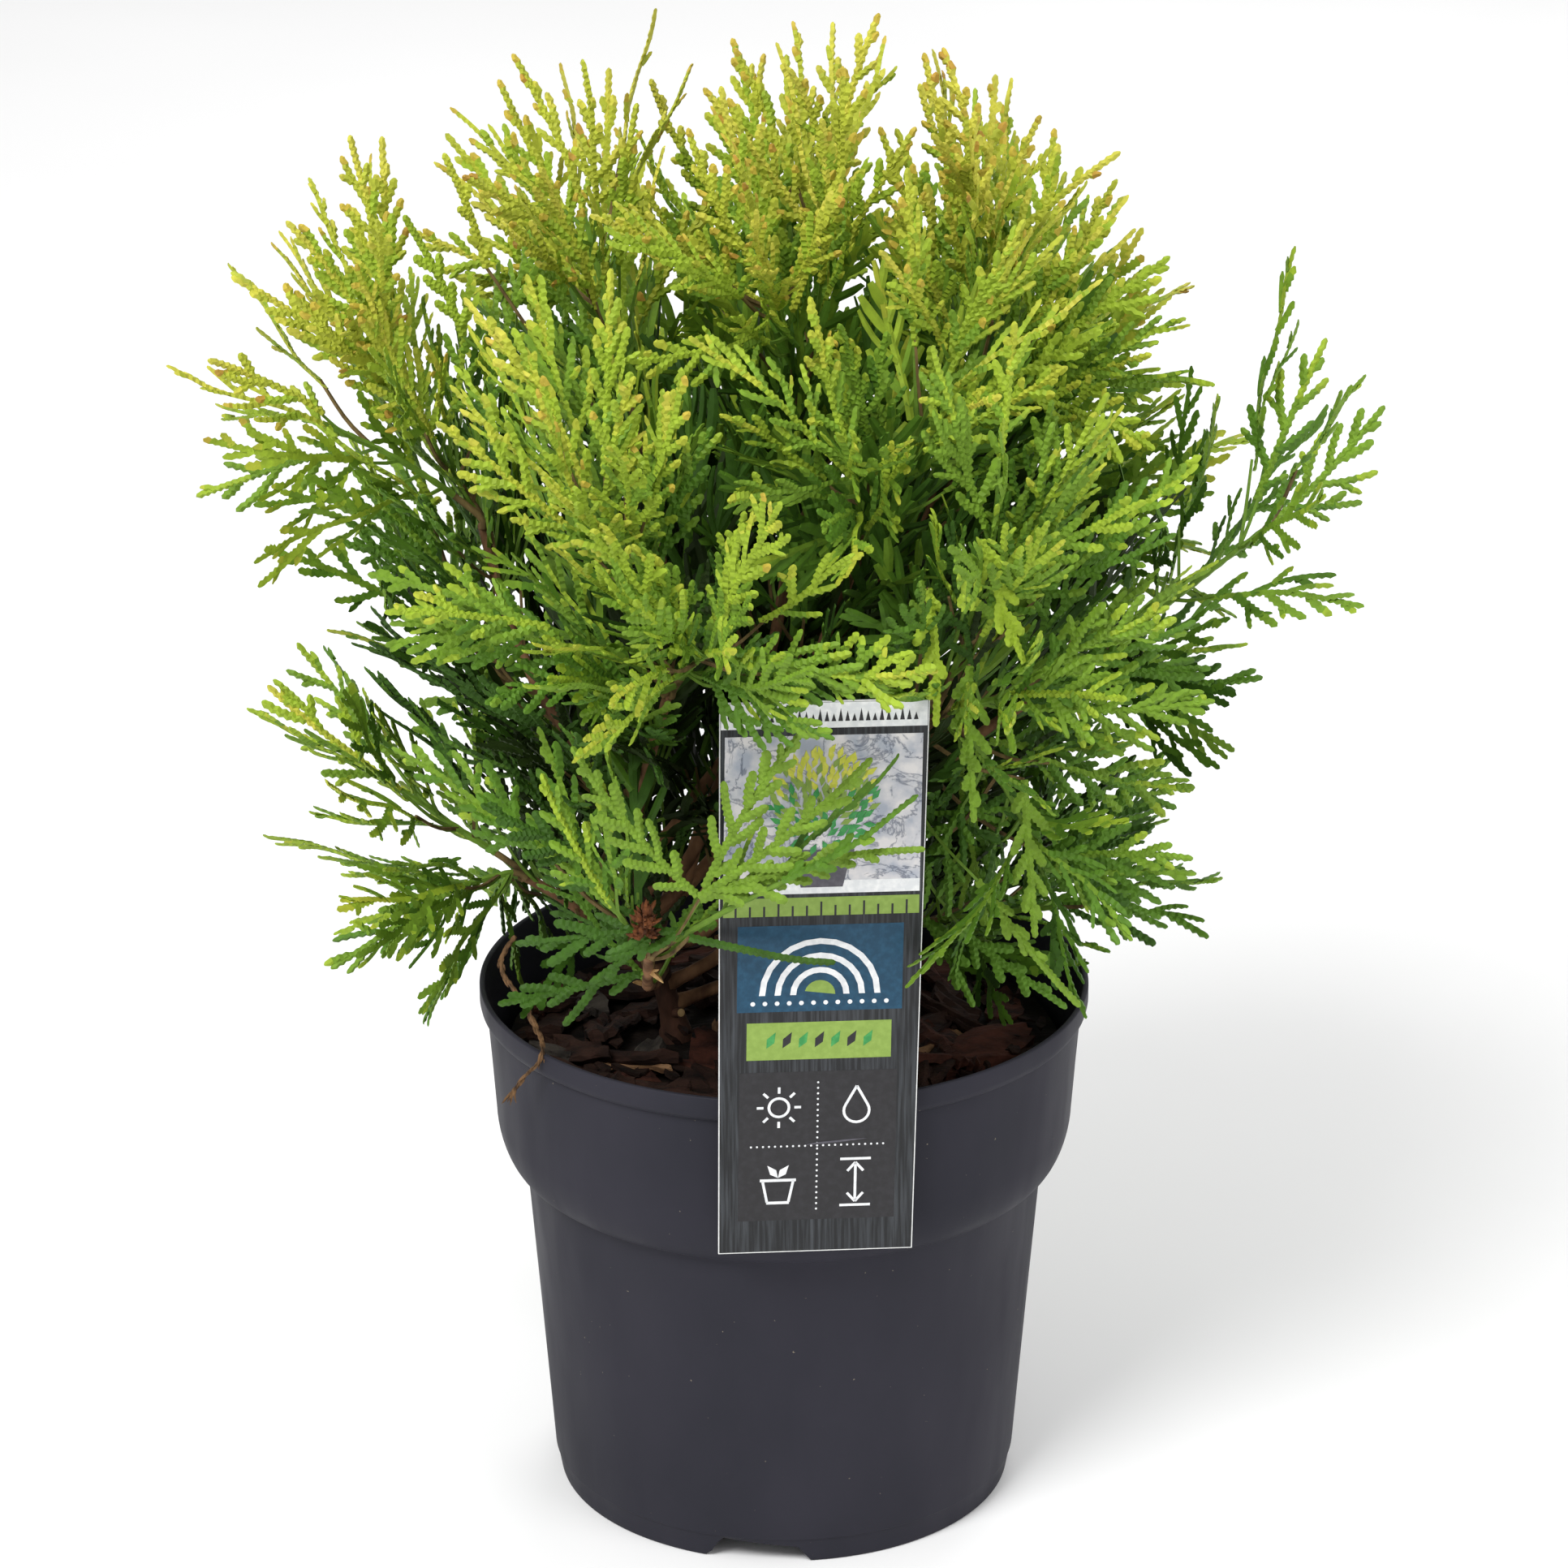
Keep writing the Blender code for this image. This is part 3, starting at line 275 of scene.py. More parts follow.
# Spray of scale leaves: a main axis with alternate branchlets, the long ones branched again
SCALE_PITCH = 0.0023
AXIS_WIDTH = 0.0028
BRANCHLET_WIDTH = 0.0033
BRANCHLET_SPACING = 0.0047
BRANCHLET_ANGLES = (math.radians(45), math.radians(28))
BRANCHLET_SHARE = 0.42
HIGH_AT = (0.350, 0.445)
HIGH_SHARE = (1.0, 0.62)
TURNED_Z = 0.400
TURNED_SHARE = 0.60
LEADER_SHARE = 0.40
BRANCHLET_LEAST = 0.0040
BRANCHLET_MISSING = 0.05
BRANCHLET_ROLL = 0.42
BRANCHLET_LONG = (0.15, 1.45)
SHOWN_WIDER = 1.10
TWIGLET_LONG = 0.0155
TWIGLET_START = 0.0060
TWIGLET_SPACING = 0.0066
TWIGLET_LIMITS = (0.0040, 0.0090)
TWIGLET_ANGLE = math.radians(38)
SCALE_NOTCH = 0.66
SCALE_WIDEST = (0.30, 0.80)
RIDGE_SWAY = 0.55
SHOWN_PITCH = 0.0019
SHOWN_NOTCH = 0.74
TIP_SHARE = 0.62
RIDGE_HEIGHT = 0.00100
RIDGE_LOW = 0.00070
EDGE_RISE = 0.00030
SCALE_EDGE = 34
COARSE_STEP = 0.0045
COARSE_WIDTH = 0.88
COARSE_DEPTH = 0.52

# Masses that the photo shows open, full or greener: how much of the usual filling they get, how much
# further apart their branchlets are, how long those are for the spray's length, and how much darker
# their colours are
OWN_LOOKS = {
    "left_fan": (0.12, 1.35, 0.44, 0.03),
    "upper_left": (1.35, 1.0, 0.42, 0.0),
    "top_left": (0.95, 1.12, 0.42, 0.0),
    "top_centre": (0.85, 1.12, 0.42, 0.0),
    "back_top": (0.85, 1.12, 0.42, 0.0),
    "front_upper_left": (1.0, 1.0, 0.42, 0.03),
    "front_upper_right": (1.0, 1.0, 0.42, 0.05),
    "front_centre": (1.0, 1.0, 0.42, 0.05),
    "front_middle": (1.0, 1.0, 0.42, 0.06),
    "left_middle": (0.0, 1.35, 0.44, -0.02),
    "lower_left": (0.38, 1.35, 0.48, -0.09),
    "bottom_left": (0.30, 1.35, 0.46, -0.06),
    "right_fan": (0.30, 1.25, 0.42, 0.15),
    "right_lower": (0.40, 1.25, 0.42, 0.06),
    "bottom_right": (0.80, 1.20, 0.44, 0.0),
    "front_low_left": (0.30, 1.20, 0.36, -0.03),
    "front_low_right": (0.0, 1.30, 0.18, 0.0),
}
USUAL_LOOKS = (1.0, 1.0, BRANCHLET_SHARE, 0.0)

# Sprays that the photo shows singly: the mass that carries each and the share along its bough, where
# the spray starts on a twig from there, its tip, how wide it is for its length, and its colour
SHOWN_SPRAYS = (
    ("front_low_right", 0.99, (-0.0246, -0.112, 0.2411), (-0.0676, -0.128, 0.2872), 0.26, "leaves_fresh"),
    ("front_low_right", 0.99, (-0.0230, -0.112, 0.2440), (0.0015, -0.120, 0.3024), 0.27, "leaves_fresh"),
    ("front_low_right", 0.99, (-0.0246, -0.112, 0.2411), (0.0278, -0.128, 0.2815), 0.25, "leaves_fresh"),
    ("front_low_right", 0.99, (-0.0246, -0.112, 0.2405), (0.0372, -0.124, 0.2724), 0.18, "leaves_fresh"),
    ("front_low_right", 0.99, (-0.0246, -0.111, 0.2395), (0.0141, -0.116, 0.2559), 0.20, "leaves_mid"),
    ("front_low_right", 0.96, (-0.0276, -0.104, 0.2249), (0.0143, -0.108, 0.2150), 0.07, "leaves_deep"),
    ("front_low_left", 0.96, (-0.0270, -0.100, 0.2253), (-0.0792, -0.100, 0.2253), 0.34, "leaves_deep"),
    ("front_low_left", 0.96, (-0.0395, -0.100, 0.2232), (-0.0560, -0.104, 0.2090), 0.40, "leaves_deep"),
    ("front_low_left", 0.85, (-0.0427, -0.075, 0.2008), (-0.0857, -0.075, 0.1902), 0.36, "leaves_deep"),
    ("front_low_left", 0.96, (-0.0539, -0.090, 0.2435), (-0.0858, -0.110, 0.2643), 0.40, "leaves_deep"),
    ("top_left", 0.99, (-0.0949, -0.0150, 0.3803), (-0.1073, -0.0200, 0.4227), 0.22, "leaves_lime"),
    ("top_left", 0.97, (-0.0883, -0.0040, 0.3983), (-0.0971, -0.0060, 0.4361), 0.20, "leaves_pale"),
    ("pot_left", 0.60, (-0.0600, -0.030, 0.1950), (-0.0790, -0.070, 0.1860), 0.38, "leaves_deep"),
    ("front_right", 0.90, (0.0411, -0.100, 0.3315), (0.0479, -0.112, 0.2944), 0.30, "leaves_lime"),
    ("front_right", 0.95, (0.0562, -0.100, 0.3462), (0.0664, -0.112, 0.3125), 0.34, "leaves_lime"),
    ("front_right", 0.97, (0.0534, -0.095, 0.3062), (0.0514, -0.102, 0.2611), 0.28, "leaves_mid"),
    ("drooping_right", 0.95, (0.0703, -0.080, 0.2651), (0.0742, -0.084, 0.2159), 0.30, "leaves_fresh"),
    ("drooping_right", 0.85, (0.0572, -0.078, 0.2321), (0.0849, -0.082, 0.1901), 0.16, "leaves_fresh"),
    ("drooping_right", 0.90, (0.0783, -0.060, 0.2325), (0.1102, -0.070, 0.2128), 0.34, "leaves_green"),
    ("drooping_right", 0.80, (0.0547, -0.050, 0.2033), (0.0841, -0.060, 0.1809), 0.30, "leaves_green"),
    ("pot_right", 0.75, (0.0424, -0.050, 0.2086), (0.0595, -0.060, 0.1849), 0.32, "leaves_green"),
)
SHOWN_FACING = (0.0, -0.93, 0.37)

# Stretches of boughs that the photo shows between the sprays, which finer sprays leave in view: the
# shares along them, and how far towards the camera and how wide they are kept clear
VIEWED_BOUGHS = (("left", 0.45, 1.0), ("centre", 0.38, 0.72), ("right", 0.90, 1.0))
VIEW_STEPS = 7
VIEW_REACHES = (0.008, 0.130)
VIEW_RADIUS = 0.0040

# Dead sprig that hangs over the rim
SPRIG_RADIUS = 0.0012
SPRIG_TAPER = 0.45
SPRIG_SIDES = 5
SPRIG_STEP = 0.004
SPRIG_HEADING = math.radians(-140)
FRAYED_ENDS = 7

# Old cones on the low front bough
CONE_COUNT = 9
CONE_TWIG = (-0.0405, -0.1050, 0.2325)
CONE_PLACES = (0.50, 1.0)
CONE_SIZE = (0.0030, 0.0044)
SEED = 41


def rgb(red, green, blue):
    """Linear values of a colour whose sRGB values run from 0 to 255."""
    shares = (red / 255, green / 255, blue / 255)
    return tuple(((c + 0.055) / 1.055) ** 2.4 if c > 0.04 else c / 12.92 for c in shares)


# Leaf colours from the shaded inside and foot of the crown to its sunlit top, then the tips, and the
# fresh green of the shoots in front
LEAF_COLOURS = (
    ("leaves_inner", rgb(34, 50, 11), "foliage_green"),
    ("leaves_deep", rgb(57, 91, 24), "foliage_green"),
    ("leaves_green", rgb(84, 122, 34), "foliage_green"),
    ("leaves_mid", rgb(112, 145, 42), "foliage_lime"),
    ("leaves_lime", rgb(146, 170, 48), "foliage_lime"),
    ("leaves_pale", rgb(169, 177, 56), "foliage_gold"),
    ("leaves_gold", rgb(190, 187, 70), "foliage_gold"),
    ("tips_bronze", rgb(186, 166, 62), "foliage_gold"),
    ("tips_rust", rgb(172, 136, 54), "foliage_gold"),
    ("leaves_fresh", rgb(112, 143, 44), "foliage_lime"),
)
LEAF_NAMES = [name for name, _, _ in LEAF_COLOURS]
LEAF_STEPS = 6
BRONZE, RUST = 7, 8
PIECE_LIMIT = 190000

# Inks of the label's print, from dark to light where it is uneven; the stone comes last. The shadow ink is not print:
# it is painted shade for the disc that stands for the hanging hole
INKS = (
    ("card", rgb(214, 215, 214), rgb(232, 232, 230)),
    ("white", rgb(214, 216, 218), rgb(236, 236, 236)),
    ("wood", rgb(28, 29, 31), rgb(62, 65, 69), 1100, (1, 1, 0.045)),
    ("blue", rgb(22, 62, 86), rgb(32, 76, 102)),
    ("lime", rgb(126, 152, 68), rgb(138, 164, 78)),
    ("dark", rgb(38, 37, 39), rgb(46, 45, 48)),
    ("gold", rgb(190, 194, 66), rgb(216, 212, 92)),
    ("green", rgb(52, 132, 70), rgb(74, 156, 84)),
    ("tub", rgb(78, 76, 84), rgb(96, 94, 102)),
    ("shadow", rgb(16, 16, 17), rgb(26, 26, 27)),
)
INK_NAMES = [*(row[0] for row in INKS), "stone"]
BUSH_LEAVES = 150


def add_node(tree, kind, **values):
    """A new node; a value is set on the input socket of that name, or else on the node itself."""
    node = tree.nodes.new(kind)
    for key, value in values.items():
        socket = node.inputs.get(key.replace("_", " "))
        if socket is None:
            setattr(node, key, value)
        else:
            socket.default_value = value
    return node


def finish(name, roughness, specular=0.4):
    """A new material, its node tree and its shader, with roughness and gloss that are even."""
    material = bpy.data.materials.new(name)
    material.use_nodes = True
    shader = material.node_tree.nodes["Principled BSDF"]
    shader.inputs["Roughness"].default_value = roughness
    shader.inputs["Specular IOR Level"].default_value = specular
    return material, material.node_tree, shader


def grain(tree, scale, detail=3.0, stretch=(1, 1, 1)):
    """The output of a noise pattern fixed to the object, stretched along its axes."""
    place = add_node(tree, "ShaderNodeTexCoord")
    fit = add_node(tree, "ShaderNodeMapping", Scale=stretch)
    pattern = add_node(tree, "ShaderNodeTexNoise", Scale=scale, Detail=detail)
    tree.links.new(place.outputs["Object"], fit.inputs["Vector"])
    tree.links.new(fit.outputs["Vector"], pattern.inputs["Vector"])
    return pattern.outputs["Fac"]


def ramp(tree, source, *stops):
    """Colours read off a ramp of (position, colour) stops by a pattern."""
    node = add_node(tree, "ShaderNodeValToRGB")
    elements = node.color_ramp.elements
    while len(elements) < len(stops):
        elements.new(0.5)
    for element, (position, colour) in zip(elements, stops):
        element.position = position
        element.color = (*colour, 1)
    tree.links.new(source, node.inputs["Fac"])
    return node.outputs["Color"]


def bump(tree, shader, source, strength, distance):
    """Fine relief from a pattern on the shader's normal."""
    node = add_node(tree, "ShaderNodeBump", Strength=strength, Distance=distance)
    tree.links.new(source, node.inputs["Height"])
    tree.links.new(node.outputs["Normal"], shader.inputs["Normal"])


def shade(colour, factor):
    """The colour made darker or lighter by a factor."""
    return tuple(min(1, c * factor) for c in colour)


def leaf_material(name, colour):
    """Scale leaves: mottled colour, a soft sheen and a fine leaf-by-leaf relief."""
    material, tree, shader = finish(name, 0.58, 0.22)
    mottle = grain(tree, 260, 2)
    tree.links.new(ramp(tree, mottle, (0.3, shade(colour, 0.80)), (0.7, shade(colour, 1.16))),
                   shader.inputs["Base Color"])
    bump(tree, shader, grain(tree, 900, 2), 0.35, 0.0004)
    return material


def bark_material(name, dark, light, scale=140, depth=0.0007):
    """Bark or wood: streaks along the limb's upright grain, dull, with a fibrous relief."""
    material, tree, shader = finish(name, 0.82, 0.25)
    streaks = grain(tree, scale, 6, (1, 1, 0.35))
    tree.links.new(ramp(tree, streaks, (0.32, dark), (0.68, light)), shader.inputs["Base Color"])
    bump(tree, shader, grain(tree, scale * 3, 6, (1, 1, 0.3)), 0.7, depth)
    return material


def chip_material(name, dark, light):
    """A bark chip: long fibres, blotches of dark crust and a rough relief."""
    material, tree, shader = finish(name, 0.88, 0.2)
    fibres = grain(tree, 170, 8, (0.45, 1, 1.6))
    tree.links.new(ramp(tree, fibres, (0.3, dark), (0.56, light), (0.75, shade(light, 1.35))),
                   shader.inputs["Base Color"])
    bump(tree, shader, grain(tree, 420, 6, (0.4, 1, 1.5)), 0.8, 0.0012)
    return material


def plastic_material():
    """The pot's satin anthracite plastic, with a fine grain, dull patches and specks of dust."""
    material, tree, shader = finish("pot_plastic", 0.5, 0.06)
    patches = grain(tree, 22, 4, (1, 1, 0.6))
    plain = ramp(tree, patches, (0.3, rgb(44, 44, 51)), (0.7, rgb(51, 50, 58)))
    specks = grain(tree, 620, 2)
    dust = ramp(tree, specks, (0.765, (0, 0, 0)), (0.80, (1, 1, 1)))
    mix = add_node(tree, "ShaderNodeMix", data_type="RGBA")
    tree.links.new(dust, mix.inputs["Factor"])
    tree.links.new(plain, mix.inputs["A"])
    mix.inputs["B"].default_value = (*rgb(120, 112, 100), 1)
    tree.links.new(mix.outputs["Result"], shader.inputs["Base Color"])
    wear = ramp(tree, grain(tree, 60, 5, (1, 1, 0.25)), (0.35, (0.44,) * 3), (0.7, (0.60,) * 3))
    tree.links.new(wear, shader.inputs["Roughness"])
    bump(tree, shader, grain(tree, 1500, 3), 0.12, 0.0002)
    return material


def link(name, mesh, materials, replaced=()):
    """A piece of the dressed part from its mesh, riding on the one body."""
    for material in materials:
        mesh.materials.append(material)
    piece = bpy.data.objects.new(name, mesh)
    bpy.context.scene.collection.objects.link(piece)
    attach(piece, "root")
    if replaced:
        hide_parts(*replaced)
    return piece


class Bundle:
    """Vertices and faces of many small shapes that become one mesh."""

    def __init__(self):
        self.vertices = []
        self.faces = []
        self.kinds = []

    def add(self, vertices, faces, kind=0):
        start = len(self.vertices)
        self.vertices += [tuple(v) for v in vertices]
        self.faces += [tuple(start + corner for corner in face) for face in faces]
        self.kinds += [kind] * len(faces)

    def mesh(self, name, sharp_angle=45):
        mesh = bpy.data.meshes.new(name)
        mesh.from_pydata(self.vertices, [], self.faces)
        mesh.polygons.foreach_set("material_index", self.kinds)
        mesh.shade_smooth()
        mesh.set_sharp_from_angle(angle=math.radians(sharp_angle))
        return mesh


def smooth_path(points, step):
    """Points at an even step along a smooth curve through the given ones."""
    points = [Vector(p) for p in points]
    ends = [2 * points[0] - points[1], *points, 2 * points[-1] - points[-2]]
    fine = []
    for a, b, c, d in zip(ends, ends[1:], ends[2:], ends[3:]):
        for k in range(12):
            t = k / 12
            fine.append(0.5 * (2 * b + (c - a) * t + (2 * a - 5 * b + 4 * c - d) * t ** 2
                               + (3 * b - a - 3 * c + d) * t ** 3))
    fine.append(points[-1])
    return even_points(fine, step)


def even_points(line, step):
    """The line's points again, spaced evenly at about the given step."""
    lengths = [(b - a).length for a, b in zip(line, line[1:])]
    total = sum(lengths)
    count = max(2, round(total / step))
    result = [line[0]]
    along = 0.0
    index = 0
    for k in range(1, count):
        goal = total * k / count
        while along + lengths[index] < goal:
            along += lengths[index]
            index += 1
        share = (goal - along) / lengths[index]
        result.append(line[index].lerp(line[index + 1], share))
    return [*result, line[-1]]


def square_to(way, axis):
    """The unit vector nearest to the given way that is square to the axis."""
    axis = axis.normalized()
    return (way - axis * way.dot(axis)).normalized()


def tube(path, radii, sides, first=None, relief=0.0, seed=0.0):
    """Vertices and faces of a tube; relief raises and sinks its skin in streaks along the grain."""
    runs = [(b - a).normalized() for a, b in zip(path, path[1:])]
    bends = [(a + b).normalized() for a, b in zip(runs, runs[1:])]
    tangents = [runs[0] if first is None else first, *bends, runs[-1]]
    side = tangents[0].orthogonal().normalized()
    vertices = []
    along = seed
    for ring, (point, tangent, radius) in enumerate(zip(path, tangents, radii)):
        side = (side - tangent * side.dot(tangent)).normalized()
        across = tangent.cross(side)
        along += (point - path[ring - 1]).length if ring else 0
        for k in range(sides):
            turn = 2 * math.pi * k / sides
            skin = radius
            if relief:
                coarse = noise.noise(Vector((1.6 * math.cos(turn), 1.6 * math.sin(turn), along * 160)))
                fine = noise.noise(Vector((5 * math.cos(turn), 5 * math.sin(turn), along * 420)))
                skin += relief * (0.8 * coarse + 0.6 * fine)
            vertices.append(point + skin * (math.cos(turn) * side + math.sin(turn) * across))
    faces = [tuple(range(sides))[::-1]]
    for ring in range(len(path) - 1):
        for k in range(sides):
            after = (k + 1) % sides
            low = ring * sides
            faces.append((low + k, low + after, low + sides + after, low + sides + k))
    faces.append(tuple(range((len(path) - 1) * sides, len(path) * sides)))
    return vertices, faces


def make_camera():
    """The camera at the photograph's viewing angle."""
    data = bpy.data.cameras.new("camera")
    data.sensor_width = 36.0
    data.lens = FOCAL_PIXELS / IMAGE_SIZE * data.sensor_width
    camera = bpy.data.objects.new("camera", data)
    camera.location = CAMERA_PLACE
    camera.rotation_euler = (math.pi / 2 - CAMERA_DOWN, 0, 0)
    bpy.context.scene.collection.objects.link(camera)
    bpy.context.scene.camera = camera


def add_light(name, place, size, power):
    """A large soft lamp that faces the middle of the plant."""
    data = bpy.data.lights.new(name, "AREA")
    data.shape = "DISK"
    data.size = size
    data.energy = power
    lamp = bpy.data.objects.new(name, data)
    lamp.location = place
    aim = Vector((0, 0, 0.25)) - Vector(place)
    lamp.rotation_euler = aim.to_track_quat("-Z", "Y").to_euler()
    bpy.context.scene.collection.objects.link(lamp)


def make_studio():
    """Plain pale floor, pale surroundings and soft light."""
    scene = bpy.context.scene
    scene.view_settings.view_transform = "Standard"
    world = bpy.data.worlds.new("studio")
    world.use_nodes = True
    sky = world.node_tree.nodes["Background"]
    sky.inputs["Color"].default_value = (1, 1, 1, 1)
    sky.inputs["Strength"].default_value = 0.60
    scene.world = world
    add_light("key", (-1.0, -1.6, 2.3), 1.2, 62)
    add_light("fill", (1.6, -1.3, 1.5), 1.4, 14)
    add_light("back", (0.5, 1.8, 1.8), 1.4, 16)
    material, tree, shader = finish("floor", 0.9, 0.1)
    tree.links.new(ramp(tree, grain(tree, 3, 2), (0.3, (0.90,) * 3), (0.7, (0.93,) * 3)),
                   shader.inputs["Base Color"])
    half = 7.0
    mesh = bpy.data.meshes.new("floor")
    mesh.from_pydata([(-half, -half, 0), (half, -half, 0), (half, half, 0), (-half, half, 0)], [],
                     [(0, 1, 2, 3)])
    mesh.materials.append(material)
    floor = bpy.data.objects.new("floor", mesh)
    scene.collection.objects.link(floor)


def shoulder(top_radius, low_radius, top_z, low_z):
    """The round underside of the collar, from its wall in to the body."""
    points = []
    for k in range(1, SHOULDER_STEPS + 1):
        turn = math.pi / 2 * k / SHOULDER_STEPS
        points.append((low_radius + (top_radius - low_radius) * math.cos(turn),
                       top_z - (top_z - low_z) * math.sin(turn) ** 1.2))
    return points


def rounded(corner, before, after, radius, steps=3):
    """Points of a small round that replaces a corner of a profile."""
    corner, before, after = Vector(corner), Vector(before), Vector(after)
    start = corner + (before - corner).normalized() * radius
    end = corner + (after - corner).normalized() * radius
    points = []
    for k in range(steps + 1):
        t = k / steps
        points.append(tuple(start * (1 - t) ** 2 + corner * 2 * t * (1 - t) + end * t ** 2))
    return points


def pot_profile():
    """The pot's whole section as (radius, height), from the foot's inner edge up, over and down inside."""
    lip_low_z = POT_HEIGHT - LIP_HEIGHT
    step_z = FOOT_HEIGHT + 0.0004
    lip_top = (RIM_RADIUS, POT_HEIGHT)
    mouth = (RIM_MOUTH_RADIUS, POT_HEIGHT)
    inner_collar = shoulder(COLLAR_LOW_RADIUS - WALL, SHOULDER_RADIUS - WALL, COLLAR_LOW_Z, SHOULDER_Z)
    return [
        (FOOT_INNER_RADIUS, 0.0),
        *rounded((FOOT_RADIUS, 0.0), (FOOT_INNER_RADIUS, 0.0), (FOOT_TOP_RADIUS, FOOT_HEIGHT), 0.0008),
        (FOOT_RADIUS + 0.0007, FOOT_HEIGHT / 2),
        (FOOT_TOP_RADIUS, FOOT_HEIGHT),
        *rounded((BODY_LOW_RADIUS, step_z), (FOOT_TOP_RADIUS, step_z), (BODY_TOP_RADIUS, BODY_TOP_Z), 0.0003),
        (BODY_LOW_RADIUS + 0.0012, 0.024),
        (BODY_LOW_RADIUS + 0.0040, 0.060),
        (BODY_TOP_RADIUS, BODY_TOP_Z),
        *shoulder(COLLAR_LOW_RADIUS, SHOULDER_RADIUS, COLLAR_LOW_Z, SHOULDER_Z)[::-1],
        (COLLAR_LOW_RADIUS, COLLAR_LOW_Z),
        (COLLAR_LOW_RADIUS + 0.0012, 0.143),
        (COLLAR_TOP_RADIUS, lip_low_z - 0.0009),
        (RIM_RADIUS - 0.0011, lip_low_z - 0.0002),
        (RIM_RADIUS - 0.0003, lip_low_z + 0.0008),
        (RIM_RADIUS, lip_low_z + 0.0022),
        *rounded(lip_top, (RIM_RADIUS, lip_low_z), mouth, LIP_ROUND),
        *rounded(mouth, lip_top, (COLLAR_TOP_RADIUS - WALL, lip_low_z), LIP_ROUND),
        (COLLAR_TOP_RADIUS - WALL, lip_low_z - 0.002),
        (COLLAR_LOW_RADIUS - WALL, COLLAR_LOW_Z),
        *inner_collar,
        (BODY_TOP_RADIUS - WALL, BODY_TOP_Z - 0.002),
        (BODY_LOW_RADIUS - WALL, FLOOR_TOP_Z),
        (0, FLOOR_TOP_Z),
        (0, FLOOR_UNDER_Z),
        (FOOT_INNER_RADIUS, FLOOR_UNDER_Z),
    ]


def notch_height(turn):
    """How high the foot ring is cut away at an angle round it."""
    pitch = 2 * math.pi / NOTCH_COUNT
    off = (turn - NOTCH_ANGLE + pitch / 2) % pitch - pitch / 2
    return float(np.interp(off * FOOT_RADIUS, NOTCH_ACROSS, NOTCH_HEIGHTS, 0.0, 0.0))


def make_pot():
    """The pot as one smooth turned shell with its drainage notches."""
    bundle = Bundle()
    vertices = []
    rings = []
    for radius, height in pot_profile():
        rings.append(list(range(len(vertices), len(vertices) + (POT_SEGMENTS if radius else 1))))
        for k in range(POT_SEGMENTS if radius else 1):
            turn = 2 * math.pi * k / POT_SEGMENTS
            lift = notch_height(turn) if height < FOOT_HEIGHT else 0.0
            vertices.append((radius * math.cos(turn), radius * math.sin(turn), max(height, lift)))
    faces = []
    for low, high in zip(rings, rings[1:] + rings[:1]):
        for k in range(POT_SEGMENTS):
            after = (k + 1) % POT_SEGMENTS
            if len(low) == 1 and len(high) == 1:
                break
            if len(low) == 1:
                faces.append((low[0], high[after], high[k]))
            elif len(high) == 1:
                faces.append((low[k], low[after], high[0]))
            else:
                faces.append((low[k], low[after], high[after], high[k]))
    bundle.add(vertices, faces)
    link("pot_shell", bundle.mesh("pot_shell", 35), [plastic_material()], ("pot",))


def make_mulch():
    """The growing medium: an uneven dark bed with loose bark chips and crumbs heaped on it."""
    bed = Bundle()
    vertices = [(0, 0, MULCH_Z - 0.002)]
    for ring in range(1, MULCH_RINGS + 1):
        for k in range(MULCH_SEGMENTS):
            turn = 2 * math.pi * k / MULCH_SEGMENTS
            radius = MULCH_RADIUS * ring / MULCH_RINGS
            x, y = radius * math.cos(turn), radius * math.sin(turn)
            heap = noise.noise(Vector((x * 70, y * 70, 3))) + 0.6 * noise.noise(Vector((x * 260, y * 260, 9)))
            vertices.append((x, y, MULCH_Z - 0.0025 + 0.0016 * heap))
    for z in (MULCH_Z - MULCH_DEPTH / 2, MULCH_Z - MULCH_DEPTH):
        for k in range(MULCH_SEGMENTS):
            turn = 2 * math.pi * k / MULCH_SEGMENTS
            vertices.append((MULCH_RADIUS * math.cos(turn), MULCH_RADIUS * math.sin(turn), z))
    faces = [(0, 1 + k, 1 + (k + 1) % MULCH_SEGMENTS) for k in range(MULCH_SEGMENTS)]
    for ring in range(MULCH_RINGS + 1):
        low = 1 + ring * MULCH_SEGMENTS
        for k in range(MULCH_SEGMENTS):
            after = (k + 1) % MULCH_SEGMENTS
            faces.append((low + k, low + MULCH_SEGMENTS + k, low + MULCH_SEGMENTS + after, low + after))
    last = 1 + (MULCH_RINGS + 1) * MULCH_SEGMENTS
    faces.append(tuple(range(last + MULCH_SEGMENTS - 1, last - 1, -1)))
    bed.add(vertices, faces)
    soil = chip_material("bed", rgb(8, 6, 5), rgb(26, 18, 13))
    link("mulch_bed", bed.mesh("mulch_bed"), [soil], ("bark_mulch",))
    colours = {
        "chips_red": (rgb(28, 14, 11), rgb(74, 41, 31)),
        "chips_brown": (rgb(18, 11, 9), rgb(50, 32, 25)),
        "chips_grey": (rgb(28, 25, 23), rgb(66, 60, 54)),
        "chips_fresh": (rgb(84, 56, 38), rgb(146, 112, 80)),
        "chips_fine": (rgb(13, 8, 6), rgb(44, 27, 20)),
    }
    rule = random.Random(SEED)
    for name, count, lengths, widths, thickness in CHIP_KINDS:
        chips = Bundle()
        for _ in range(count):
            chips.add(*bark_chip(rule, rule.uniform(*lengths), rule.uniform(*widths), thickness))
        link(name, chips.mesh(name, 24), [chip_material(name, *colours[name])])


